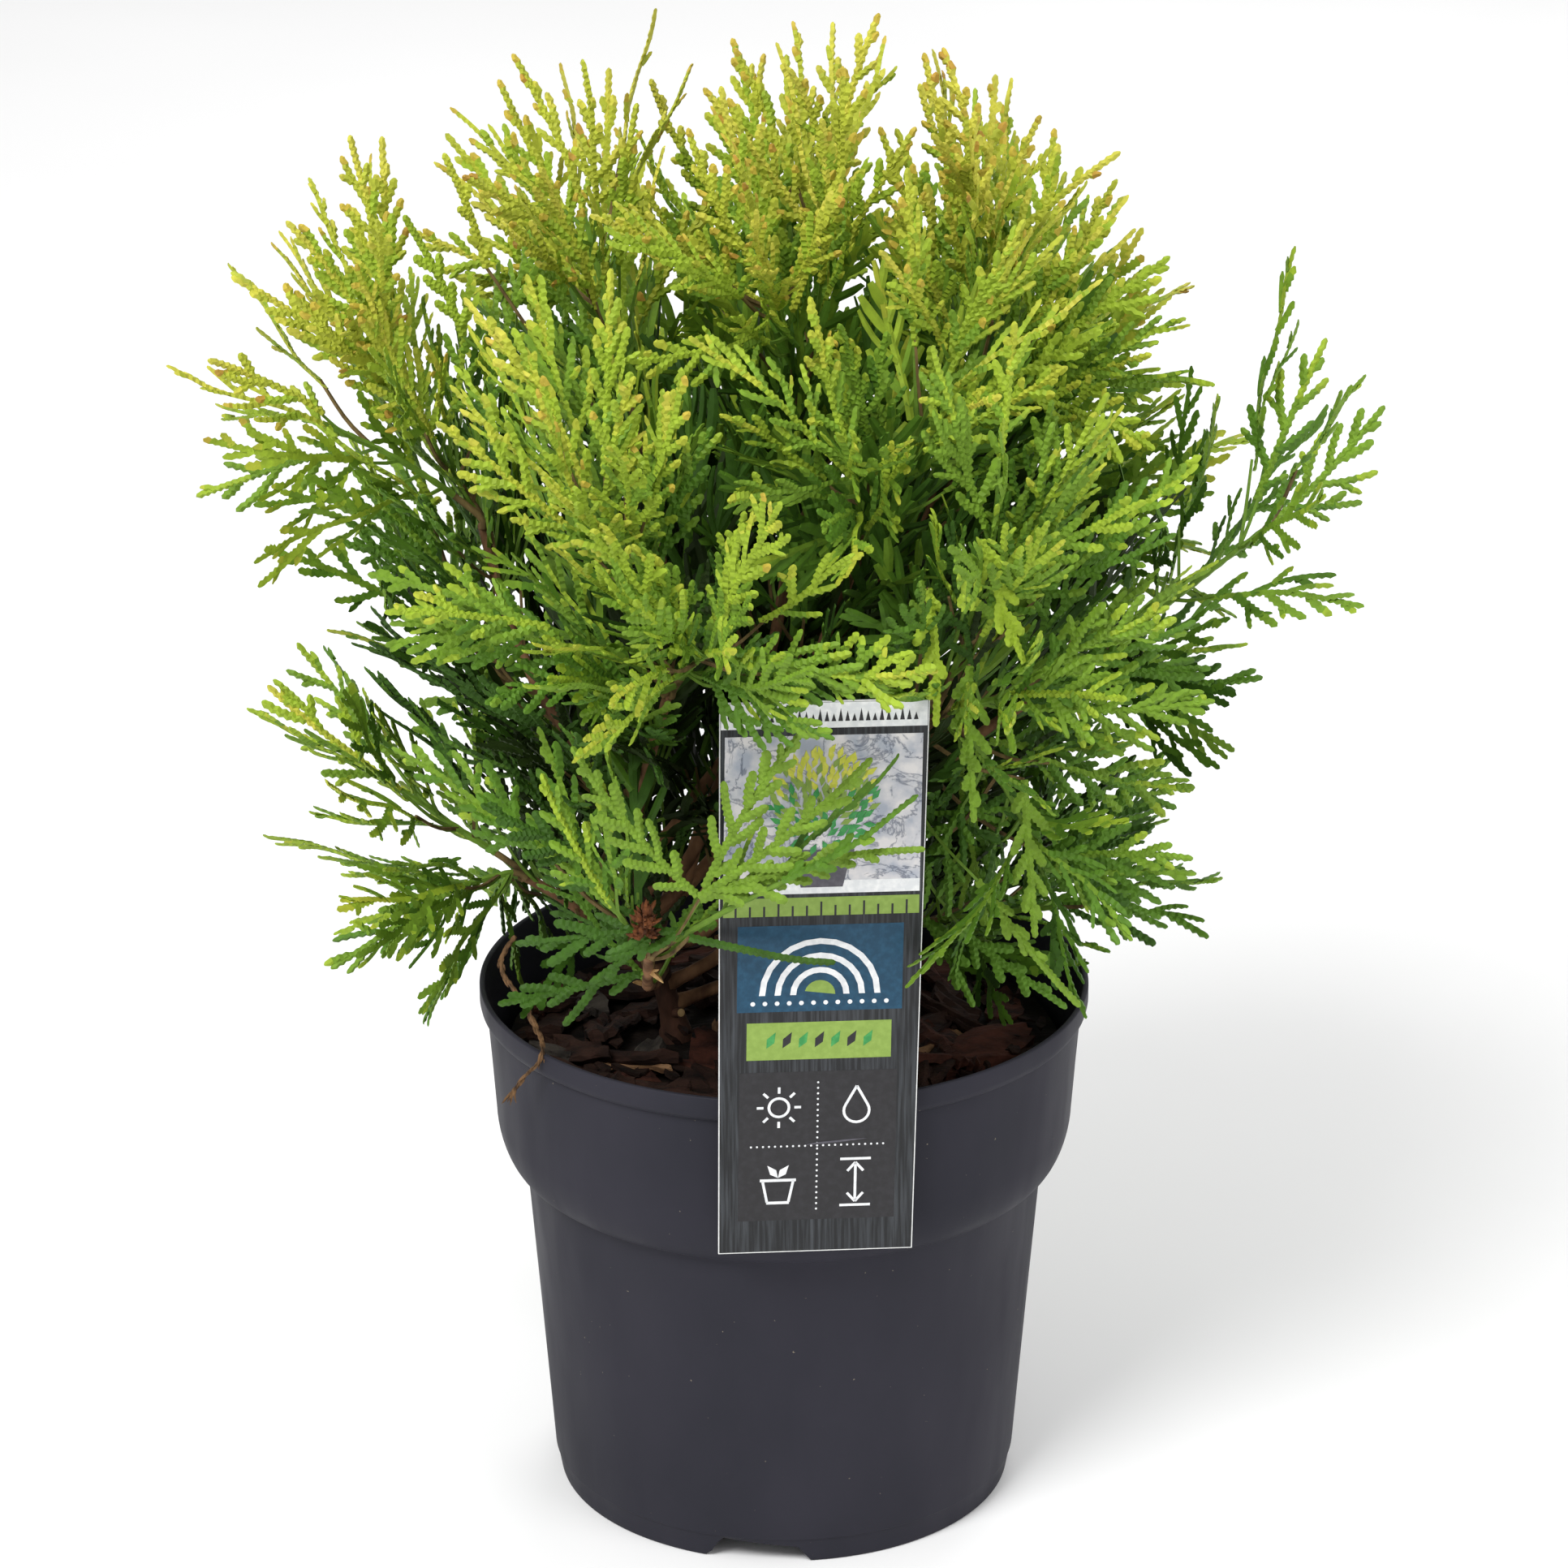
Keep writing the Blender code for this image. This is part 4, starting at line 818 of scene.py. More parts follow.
def bark_chip(rule, length, width, thickness):
    """One loose chip: a slab of uneven fibres with a ragged outline and splintered ends, tilted."""
    rows, columns = (7, 7) if length > CHIP_FINE else (3, 3)
    seed = rule.uniform(0, 900)
    bend = rule.uniform(-0.12, 0.12) * length
    skew = rule.uniform(-0.35, 0.35)
    grooves = [[rule.uniform(-0.30, 0.30) for _ in range(columns)] for _ in range(2)]
    ends = [[1 + rule.uniform(-0.13, 0.06) for _ in range(columns)] for _ in range(2)]
    vertices = []
    for side, level in enumerate((-0.5, 0.5)):
        for row in range(rows):
            s = 2 * row / (rows - 1) - 1
            ragged = noise.noise(Vector((s * 2.2, 5, seed)))
            reach = width / 2 * (1 - 0.40 * abs(s) ** 5) * (1 + 0.45 * ragged)
            for column in range(columns):
                t = 2 * column / (columns - 1) - 1
                x = s * length / 2 * ends[s > 0][column] + skew * t * width / 2
                y = t * reach + bend * (s * s - 0.4)
                edge = 1 - 0.45 * abs(t) ** 3
                rough = 0.5 * noise.noise(Vector((x * 260, y * 260, seed + level))) + grooves[side][column]
                vertices.append(Vector((x, y, thickness * (level * edge + rough))))
    faces = []
    top = rows * columns
    for row in range(rows - 1):
        for column in range(columns - 1):
            a = row * columns + column
            b, c, d = a + 1, a + columns + 1, a + columns
            faces.append((a, b, c, d))
            faces.append((top + a, top + d, top + c, top + b))
    rim = [*range(columns), *(row * columns + columns - 1 for row in range(1, rows)),
           *(top - 2 - k for k in range(columns - 1)), *(row * columns for row in range(rows - 2, 0, -1))]
    for k, corner in enumerate(rim):
        after = rim[(k + 1) % len(rim)]
        faces.append((corner, top + corner, top + after, after))
    limit = MULCH_RADIUS - length / 2 * 0.9
    foot = Vector(TRUNK_POINTS[0]).to_2d()
    while True:
        radius = limit * math.sqrt(rule.random())
        turn = rule.uniform(0, 2 * math.pi)
        place = Vector((radius * math.cos(turn), radius * math.sin(turn)))
        if (place - foot).length > length / 2 + 0.003 or length < CHIP_FINE:
            break
    heading = math.atan2(place.y, place.x) + math.pi / 2 + rule.uniform(-0.9, 0.9)
    tilt = Matrix.Rotation(heading, 3, "Z") @ Matrix.Rotation(rule.uniform(-0.28, 0.28), 3, "Y")
    tilt = tilt @ Matrix.Rotation(rule.uniform(-0.5, 0.5), 3, "X")
    centre = Vector((place.x, place.y, MULCH_Z + rule.uniform(-0.0015, 0.0030)))
    return [centre + tilt @ v for v in vertices], faces


def card_frame():
    """Turns the label's own X, Y, Z (width, depth out of the pot, height) to its real place."""
    yaw = Matrix.Rotation(CARD_YAW, 4, "Z")
    roll = Matrix.Rotation(CARD_ROLL, 4, "Y")
    pivot = Matrix.Translation((0, 0, POT_HEIGHT))
    return yaw @ pivot @ roll @ pivot.inverted()


def prism_faces(count):
    """Faces of a solid whose vertices are one outline of so many corners, then the same one moved."""
    faces = [tuple(range(count)), tuple(range(2 * count - 1, count - 1, -1))]
    faces += [(k, k + count, (k + 1) % count + count, (k + 1) % count) for k in range(count)]
    return faces


def sprig_line():
    """The dead sprig's axis and radii: down out of the low foliage, over the lip and on outside it."""
    half = SPRIG_RADIUS * (1 - SPRIG_TAPER / 2) * math.cos(math.pi / SPRIG_SIDES)
    off = (half + GAP) * math.sqrt(0.5) - LIP_ROUND
    reach = RIM_RADIUS + off
    crest = (reach * math.cos(SPRIG_HEADING), reach * math.sin(SPRIG_HEADING), POT_HEIGHT + off)
    points = [
        (-0.0815, -0.042, 0.199), (-0.0860, -0.044, 0.190), (-0.0770, -0.0525, 0.1775), crest,
        (-0.0785, -0.0610, 0.161), (-0.0825, -0.0590, 0.154),
    ]
    path = smooth_path(points, SPRIG_STEP)
    count = len(path) - 1
    return path, [SPRIG_RADIUS * (1 - SPRIG_TAPER * k / count) for k in range(count + 1)]


def trunk_line():
    """The trunk's axis and its radius at each point, with the root flare at the foot."""
    path = smooth_path(TRUNK_POINTS, 0.006)
    radii = []
    for k, point in enumerate(path):
        share = k / (len(path) - 1)
        flare = FLARE_RADIUS * math.exp(-(point.z - path[0].z) / FLARE_LENGTH)
        radii.append(TRUNK_FOOT_RADIUS + (TRUNK_TOP_RADIUS - TRUNK_FOOT_RADIUS) * share + flare)
    return path, radii


def on_trunk(z):
    """The trunk's axis point and radius at a height."""
    path, radii = trunk_line()
    for a, b, ra, rb in zip(path, path[1:], radii, radii[1:]):
        if a.z <= z <= b.z:
            share = (z - a.z) / (b.z - a.z)
            return a.lerp(b, share), ra + (rb - ra) * share
    return path[-1], radii[-1]


def bough_line(name):
    """A bough's axis and radii from 0.3 mm off the trunk to its tip, and the way its base faces."""
    leave, height, way = BOUGHS[name]
    path, radii = trunk_line()
    if leave == "fork":
        facing = (path[-1] - path[-2]).normalized()
        side = square_to(Vector((height, 0, 0)), facing)
        start = path[-1] + facing * GAP + side * FORK_SPREAD
        base = FORK_RADIUS
    else:
        base = BOUGH_BASE_RADIUS
        low, radius = on_trunk(height - base)
        high, _ = on_trunk(height + base)
        heading = math.radians(leave)
        facing = square_to(Vector((math.cos(heading), math.sin(heading), 0)), high - low)
        start = (low + high) / 2 + facing * (radius + GAP)
    line = smooth_path([start, start + facing * BOUGH_COLLAR, *way], BOUGH_STEP)
    count = len(line) - 1
    return line, [base + (BOUGH_TIP_RADIUS - base) * k / count for k in range(count + 1)], facing


class Guards:
    """Round zones that foliage keeps clear of, each a point with a radius and an owner."""

    def __init__(self):
        self.zones = []

    def add_line(self, line, radii, owner, step=0.0015):
        for a, b, ra, rb in zip(line, line[1:], radii, radii[1:]):
            count = max(1, math.ceil((b - a).length / step))
            for k in range(count + 1):
                self.zones.append((a.lerp(b, k / count), ra + (rb - ra) * k / count, owner))

    def add_point(self, point, radius, owner):
        self.zones.append((point, radius, owner))

    def near(self, centre, reach, skip=()):
        return [(p, r) for p, r, owner in self.zones
                if owner not in skip and (p - centre).length < reach + r + CLEARANCE]


def guard_the_pot(guards):
    """Zones round the pot's lip, over the whole label and down its tongue."""
    lip = (RIM_MOUTH_RADIUS + RIM_RADIUS) / 2
    for k in range(LIP_GUARDS):
        turn = 2 * math.pi * k / LIP_GUARDS
        centre = Vector((lip * math.cos(turn), lip * math.sin(turn), POT_HEIGHT - LIP_HEIGHT / 2))
        guards.add_point(centre, LIP_GUARD_RADIUS, "pot")
    placed = card_frame()
    middle = -(RIM_RADIUS + GAP + CARD_THICKNESS / 2)
    rows = math.ceil((CARD_TOP_Z - CARD_LOW_Z) / CARD_GUARD_STEP)
    columns = math.ceil(CARD_TOP_WIDTH / CARD_GUARD_STEP)
    for row in range(rows + 1):
        for column in range(columns + 1):
            x = CARD_TOP_WIDTH * (column / columns - 0.5)
            z = CARD_LOW_Z + (CARD_TOP_Z - CARD_LOW_Z) * row / rows
            guards.add_point(placed @ Vector((x, middle, z)), CARD_GUARD_RADIUS, "label")
    tongue = TONGUE_THICKNESS / 2 - TONGUE_INNER_RADIUS
    for k in range(TONGUE_GUARDS):
        z = TONGUE_LOW_Z + (POT_HEIGHT - TONGUE_LOW_Z) * k / (TONGUE_GUARDS - 1)
        for x in (-TONGUE_WIDTH / 3, 0.0, TONGUE_WIDTH / 3):
            guards.add_point(placed @ Vector((x, tongue, z)), TONGUE_GUARD_RADIUS, "label")


class Space:
    """The part of the crown that one mass keeps to: its cell, and its own reach."""

    def __init__(self, name, centres, tip):
        self.centre = centres[name]
        self.others = [c for key, c in centres.items() if key != name]
        self.reach = (tip - Vector(CROWN_CENTRE)).length

    def owns(self, point, margin=CELL_MARGIN):
        """Whether the point is in the cell, clear of the planes between it and its neighbours."""
        for other in self.others:
            apart = (other - self.centre).length
            depth = ((point - other).length_squared - (point - self.centre).length_squared) / (2 * apart)
            if depth < margin:
                return False
        return True

    def holds(self, point, margin=CELL_MARGIN):
        """Whether the point is in the cell and in reach, and clear of the mulch and the pot."""
        if not self.owns(point, margin):
            return False
        if abs(point.x) > REACH_SIDE or abs(point.y) > REACH_FRONT or point.z > REACH_TOP:
            return False
        return (point - Vector(CROWN_CENTRE)).length <= self.reach and off_the_pot(point)


def fill_test(space, inner):
    """What tells whether a point of a finer spray is in bounds; the outer ones may cross a little."""
    if inner:
        return deep_inside
    return functools.partial(space.holds, margin=-FILL_OVERLAP)


def off_the_pot(point):
    """Whether a point of the foliage is clear of the mulch and the pot."""
    out = math.hypot(point.x, point.y)
    if out < MOUTH_CLEAR_RADIUS:
        return point.z > MULCH_Z + OVER_MULCH
    return point.z > POT_HEIGHT + OVER_LIP or out > RIM_CLEAR_RADIUS


def deep_inside(point):
    """Whether a point is far enough inside the crown for the dark inner sprays."""
    return depth_in_crown(point) > INNER_DEPTH and off_the_pot(point)


def blade(base, along, flat, length):
    """Vertices and faces of the source's toothed blade, which tells where a spray has room."""
    width = length * SPRAY_WIDTH_SHARE
    side = flat.cross(along).normalized()
    vertices = []
    for k, share in enumerate(NOTCHES):
        narrow = 1 - RIB_NARROWING * k
        for edge in (-1, 1):
            for face in (-1, 1):
                vertices.append(base + along * share * length + side * edge * RIB_HALF_WIDTH * narrow
                                + flat * face * RIB_HALF_THICKNESS * narrow)
    last = len(vertices) - 4
    faces = [(0, 1, 3, 2)]
    roots = []
    for k in range(len(NOTCHES) - 1):
        here = 4 * k
        for face in (0, 1):
            faces.append((here + face, here + 2 + face, here + 6 + face, here + 4 + face))
        for edge, corner in ((-1, here), (1, here + 2)):
            forward, out = TEETH[edge][k]
            roots.append((corner, corner + 1, corner + 5, corner + 4))
            vertices.append(base + along * forward * length + side * edge * out * width)
    roots.append((last, last + 1, last + 3, last + 2))
    vertices.append(base + along * length)
    for tooth, corners in enumerate(roots, last + 4):
        faces += [(corners[n], corners[(n + 1) % 4], tooth) for n in range(4)]
    return vertices, faces


def flat_side(along, rule, spread):
    """The way a spray's flat side faces: its blade stands upright, turned by a seeded angle."""
    level = along.cross(Vector((0, 0, 1)))
    if level.length < 0.3:
        turn = rule.uniform(0, 2 * math.pi)
        level = along.cross(Vector((math.cos(turn), math.sin(turn), 0.2)))
    return Matrix.Rotation(rule.uniform(-spread, spread), 3, along) @ level.normalized()


def facing_side(along, place, rule, spread):
    """The way a spray's flat side faces where it shows: out of the crown, turned by a seeded angle."""
    out = place - Vector(CROWN_CENTRE)
    out.z *= 0.5
    if rule.random() > FACING_OUT or along.angle(out, 0.0) < 0.35:
        return flat_side(along, rule, spread)
    return Matrix.Rotation(rule.uniform(-spread, spread) / 2, 3, along) @ square_to(out, along)


Spray = namedtuple("Spray", "base along flat length share darker colour apart",
                   defaults=(BRANCHLET_SHARE, 0.0, None, 1.0))


class Growth:
    """Grows one mass: a stem from the bough's tip, side twigs on it and a spray on each."""

    def __init__(self, name, index, bough, centres, guards):
        self.name = name
        self.rule = random.Random(SEED + 7 * index)
        self.finer = random.Random(SEED + 7 * index + 3)
        self.tip = Vector(MASSES[name][1])
        self.space = Space(name, centres, self.tip)
        self.guards = guards
        self.sprays = []
        self.trees = []
        self.twigs = []
        self.bough = bough
        self.heading = (bough[-1] - bough[-2]).normalized()
        self.stem = self.stem_line(bough[-1])

    def seat(self, end):
        """How far beside the bough's axis the stem starts: the masses on one end share it evenly."""
        carrier = MASSES[self.name][0]
        siblings = [name for name, row in MASSES.items() if row[0] == carrier]
        if len(siblings) == 1:
            return Vector()
        east = self.heading.orthogonal().normalized()
        north = self.heading.cross(east)
        turns = {}
        for name in siblings:
            goal = Vector(MASSES[name][1]) - end
            turns[name] = math.atan2(goal.dot(north), goal.dot(east))
        order = sorted(siblings, key=turns.get)
        shifts = [turns[name] - 2 * math.pi * k / len(order) for k, name in enumerate(order)]
        mean = math.atan2(sum(map(math.sin, shifts)), sum(map(math.cos, shifts)))
        turn = mean + 2 * math.pi * order.index(self.name) / len(order)
        return (east * math.cos(turn) + north * math.sin(turn)) * STEM_OFFSET

    def stem_line(self, end):
        """The stem's axis: square off the bough's end, then a curve to the root of the leading blade."""
        foot = end + self.heading * GAP + self.seat(end)
        start = foot + self.heading * STEM_COLLAR
        goal = (self.tip - start).normalized()
        bend = start + (self.heading * 0.35 + goal * 0.65).normalized() * (self.tip - start).length * 0.4
        curve = []
        for k in range(25):
            t = k / 24
            curve.append(start * (1 - t) ** 2 + bend * 2 * t * (1 - t) + self.tip * t ** 2)
        keep = [p for p in curve if (p - self.tip).length > SPRAY_LENGTHS[1] * 0.86]
        keep = keep if len(keep) > 3 else curve[:6]
        total = sum((b - a).length for a, b in zip(keep, keep[1:]))
        return [foot, *even_points(keep, total / (STEM_POINTS - 1))]

    def stem_radii(self):
        count = len(self.stem) - 1
        taper = (STEM_BASE_RADIUS - STEM_TIP_RADIUS) / count
        return [STEM_BASE_RADIUS - taper * k for k in range(count + 1)]

    def clear(self, vertices, faces, base, root, test):
        """Whether a blade or twig stays in its space and touches nothing but what it grows from."""
        if not all(test(v) for v in vertices if (v - base).length > root):
            return False
        tree = BVHTree.FromPolygons([tuple(v) for v in vertices], faces)
        if any(tree.overlap(other) for other in self.trees):
            return False
        centre = sum(vertices, Vector()) / len(vertices)
        reach = max((v - centre).length for v in vertices)
        for point, radius in self.guards.near(centre, reach, (self.name,)):
            if tree.find_nearest(point, radius + CLEARANCE)[0] is not None:
                return False
        for line in (self.stem, *self.twigs):
            for a, b in zip(line, line[1:]):
                for k in range(5):
                    point = a.lerp(b, k / 4)
                    away = (point - base).length > root
                    if away and tree.find_nearest(point, TWIG_CLEARANCE)[0] is not None:
                        return False
        return True

    def add_blade(self, end, along, flat, length, test, share=BRANCHLET_SHARE):
        base = end - along * SPRAY_SUNK
        vertices, faces = blade(base, along, flat, length)
        if not self.clear(vertices, faces, end, SPRAY_ROOT, test):
            return False
        self.sprays.append(Spray(base, along, flat, length, share))
        self.trees.append(BVHTree.FromPolygons([tuple(v) for v in vertices], faces))
        return True

    def grow_leader(self):
        """The blade at the stem's end; it alone may go as far as the mass's named tip."""
        end = self.stem[-1]
        along = (self.tip - end).normalized()
        length = (self.tip - end).length + SPRAY_SUNK
        for attempt in range(TRIES):
            flat = flat_side(along, self.rule, 0.4 + 0.1 * attempt)
            if self.add_blade(end, along, flat, length, self.space.owns, LEADER_SHARE):
                return

    def grow_side(self, share, roll):
        """One side twig with its blade; the twig turns on until it finds room, or is skipped."""
        limb = self.stem[1:]
        span = share * (len(limb) - 1)
        index = min(int(span), len(limb) - 2)
        root = limb[index].lerp(limb[index + 1], span - index)
        ahead = (limb[index + 1] - limb[index]).normalized()
        for attempt in range(TRIES):
            turn = roll + attempt * 0.9 + self.rule.uniform(-0.25, 0.25)
            lean = self.rule.uniform(0.55, 1.05)
            side = Matrix.Rotation(turn, 3, ahead) @ ahead.orthogonal().normalized()
            along = (ahead * math.cos(lean) + side * math.sin(lean) + Vector((0, 0, 0.12))).normalized()
            shrink = 1 - SHRINK_A_TRY * attempt
            twig = (TWIG_LENGTHS[0] + (TWIG_LENGTHS[1] - TWIG_LENGTHS[0]) * share) * shrink
            length = (SPRAY_LENGTHS[0] + (SPRAY_LENGTHS[1] - SPRAY_LENGTHS[0]) * share) * shrink
            end = root + along * twig
            flat = flat_side(along, self.rule, 1.0 + 0.03 * attempt)
            line = [root, end]
            vertices, _ = tube(line, [TWIG_RADIUS] * 2, STEM_SIDES)
            if not self.clear(vertices[STEM_SIDES:], [(0, 1, 2)], root, TWIG_ROOT, self.space.holds):
                continue
            if self.crosses_a_blade(line):
                continue
            if self.add_blade(end, along, flat, length, self.space.holds):
                self.twigs.append(line)
                return

    def crosses_a_blade(self, line):
        """Whether a twig comes too near to a blade that is already there."""
        points = [line[0].lerp(line[1], k / 6) for k in range(2, 7)]
        return any(tree.find_nearest(point, 2 * CLEARANCE)[0] for tree in self.trees for point in points)

    def grow(self, count):
        """The leading blade, then side twigs from the stem's end down to its foot."""
        self.grow_leader()
        roll = self.rule.uniform(0, 2 * math.pi)
        for k in range(count):
            share = 0.96 - 0.84 * k / max(1, count - 1)
            self.grow_side(share, roll + GOLDEN_ANGLE * k)

    def fill(self, crown, inner):
        """One finer twig and spray where the crown is thinnest, out of several seeded tries."""
        rule = self.finer
        test = fill_test(self.space, inner)
        best = None
        for _ in range(FILL_TRIES):
            on_bough = rule.random() < (INNER_ON_BOUGH if inner else FILL_ON_BOUGH)
            limb = self.bough if on_bough else self.stem[1:]
            share = rule.uniform(BOUGH_BARE_SHARE if on_bough else 0.0, 0.95)
            root, ahead = along_limb(limb, share)
            side = Matrix.Rotation(rule.uniform(0, 2 * math.pi), 3, ahead)
            side = side @ ahead.orthogonal().normalized()
            lean = rule.uniform(0.35, 1.25)
            rise = Vector((0, 0, float(np.interp(root.z, FILL_RISE_AT, FILL_RISE))))
            along = (ahead * math.cos(lean) + side * math.sin(lean) + rise).normalized()
            length = rule.uniform(*FILL_LENGTHS)
            base = root + along * rule.uniform(*FILL_TWIGS)
            flat = facing_side(along, base + along * length / 2, rule, 1.1)
            outline = envelope(base, along, flat, length)
            if not all(test(Vector(p)) for p in outline[1:]):
                continue
            room = crown.room(outline)
            if best is not None and room <= best[0]:
                continue
            if crown.blocked(outline, self.name):
                continue
            best = (room, root, base, along, flat, length, outline)
        if best is None:
            return
        _, root, base, along, flat, length, outline = best
        crown.take(outline)
        self.twigs.append([root, base])
        darker = INNER_DARKER if inner else 0.0
        self.sprays.append(Spray(base - along * SPRAY_SUNK, along, flat, length, BRANCHLET_SHARE, darker))

    def show(self, share, base, tip, width, colour, crown):
        """One spray that the photo shows singly, on a twig from its place on the bough."""
        root, _ = along_limb(self.bough, share)
        base, tip = Vector(base), Vector(tip)
        along = (tip - base).normalized()
        flat = square_to(Vector(SHOWN_FACING), along)
        self.twigs.append([root, base])
        self.sprays.append(Spray(base, along, flat, (tip - base).length, width, 0.0, colour))
        crown.take(envelope(base, along, flat, (tip - base).length))

    def dress(self):
        """Gives the sprays the looks of their mass, but for those that the photo shows singly."""
        _, apart, share, darker = OWN_LOOKS.get(self.name, USUAL_LOOKS)
        self.sprays = [spray if spray.colour else
                       spray._replace(share=share, apart=apart, darker=spray.darker + darker)
                       for spray in self.sprays]


def along_limb(limb, share):
    """A point at a share along a limb's line, and the way that the limb heads there."""
    span = share * (len(limb) - 1)
    index = min(int(span), len(limb) - 2)
    return limb[index].lerp(limb[index + 1], span - index), (limb[index + 1] - limb[index]).normalized()


def envelope(base, along, flat, length):
    """Points that mark out a flat spray: up its axis and out to either edge."""
    side = flat.cross(along).normalized()
    half = length * SPRAY_WIDTH_SHARE / 2
    marks = [(0.0, 0.0), (0.25, 0.0), (0.5, 0.0), (0.75, 0.0), (1.0, 0.0), (0.3, 0.6), (0.3, -0.6),
             (0.55, 1.0), (0.55, -1.0), (0.8, 0.6), (0.8, -0.6)]
    return np.array([tuple(base + along * length * s + side * half * t) for s, t in marks])


class Crown:
    """Where the sprays placed so far are, and what new ones keep clear of."""

    def __init__(self, guards, boughs):
        for name, first, last in VIEWED_BOUGHS:
            for k in range(VIEW_STEPS):
                point, _ = along_limb(boughs[name][0], first + (last - first) * k / (VIEW_STEPS - 1))
                way = (Vector(CAMERA_PLACE) - point).normalized()
                reaches = [VIEW_REACHES[0] + 0.006 * n for n in range(round((VIEW_REACHES[1] - VIEW_REACHES[0]) / 0.006))]
                for reach in reaches:
                    guards.add_point(point + way * reach, VIEW_RADIUS, "view")
        self.taken = np.empty((0, 3))
        self.zones = np.array([tuple(p) for p, r, owner in guards.zones])
        self.radii = np.array([r for p, r, owner in guards.zones])
        self.owners = np.array([owner for p, r, owner in guards.zones])
        self.to_card = np.array(card_frame().inverted())

    def take(self, outline):
        self.taken = np.vstack([self.taken, outline[1:]])

    def room(self, outline):
        """How far, on average, the spray's marks are from those of the sprays already there."""
        gaps = np.linalg.norm(outline[2:, None] - self.taken[None], axis=2)
        return float(np.mean(np.minimum(gaps.min(axis=1), 0.03)))

    def blocked(self, outline, name):
        """Whether the spray would touch a limb, the pot or the label, or pass through the card."""
        others = self.owners != name
        gaps = np.linalg.norm(outline[1:, None] - self.zones[None, others], axis=2)
        if np.any(gaps < self.radii[None, others] + FILL_CLEARANCE):
            return True
        local = outline @ self.to_card[:3, :3].T + self.to_card[:3, 3]
        beside = (np.abs(local[:, 0]).min() < CARD_CLEAR_SIDE) and local[:, 2].min() < CARD_TOP_Z
        if not beside:
            return False
        depth = local[:, 1] + RIM_RADIUS
        return depth.min() < CARD_CLEAR_DEPTH and depth.max() > -CARD_CLEAR_DEPTH


def scale_rows(count, notch):
    """Places along a strip of so many pairs of scale leaves, as shares of it. With each place go the
    shares of its width out to its left and right edges, the ridge's height and either edge's rise."""
    rows = [(0, notch, notch, RIDGE_LOW, 0.0, 0.0)]
    for k in range(count - 1):
        taper = 1 - 0.16 * k / count
        rows.append((k + SCALE_WIDEST[0], taper, notch * taper, RIDGE_HEIGHT, EDGE_RISE, 0.0))
        rows.append((k + SCALE_WIDEST[1], notch * taper, taper, RIDGE_HEIGHT, 0.0, EDGE_RISE))
    rows.append((count - 0.66, 0.78, 0.66, RIDGE_HEIGHT * 0.95, EDGE_RISE, 0.0))
    rows.append((count - 0.26, 0.50, 0.60, RIDGE_HEIGHT * 0.75, 0.0, EDGE_RISE))
    rows.append((count, 0.18, 0.18, RIDGE_LOW * 0.6, 0.0, 0.0))
    return split_rows(rows)


def coarse_rows(count):
    """The same for a strip deep in the crown, which has no scallops."""
    deep = RIDGE_HEIGHT * COARSE_DEPTH
    rows = [(k, COARSE_WIDTH, COARSE_WIDTH, deep, 0.0, 0.0) for k in range(count)]
    rows.append((count - 0.12, COARSE_WIDTH * 0.6, COARSE_WIDTH * 0.6, deep, 0.0, 0.0))
    return split_rows(rows)


def split_rows(rows):
    """The rows' columns as arrays, the places as shares of the last and the widths halved."""
    places, left, right, ridges, left_rise, right_rise = np.array(rows).T
    return places / places[-1], left / 2, right / 2, ridges, left_rise, right_rise


MOST_ROWS = 60
ROWS = {
    "fine": (SCALE_PITCH, {count: scale_rows(count, SCALE_NOTCH) for count in range(1, MOST_ROWS)}),
    "shown": (SHOWN_PITCH, {count: scale_rows(count, SHOWN_NOTCH) for count in range(1, MOST_ROWS)}),
    "coarse": (COARSE_STEP, {count: coarse_rows(count) for count in range(1, MOST_ROWS)}),
}


def strip(start, heading, bend, length, width, lift=0.0, tilt=0.0, roll=0.0, look="fine"):
    """A branchlet as rows of three points in the spray's own plane: one edge, the ridge, the other."""
    pitch, table = ROWS[look]
    row = table[max(1, min(MOST_ROWS - 1, round(length / pitch)))]
    places, left, right, ridges, left_rise, right_rise = row
    along = places * length
    turn = heading + bend * places / 2
    facing = heading + bend * places
    u = start[0] + along * np.cos(turn)
    v = start[1] + along * np.sin(turn)
    out_u = -np.sin(facing) * width * math.cos(roll)
    out_v = np.cos(facing) * width * math.cos(roll)
    out_w = width * math.sin(roll)
    rise = lift + along * tilt
    sway = (left - right) * RIDGE_SWAY
    grid = np.empty((len(places), 3, 3))
    grid[:, 0] = np.stack([u + out_u * left, v + out_v * left, rise + left_rise + out_w * left], axis=1)
    grid[:, 1] = np.stack([u + out_u * sway, v + out_v * sway, rise + ridges], axis=1)
    grid[:, 2] = np.stack([u - out_u * right, v - out_v * right, rise + right_rise - out_w * right], axis=1)
    return grid


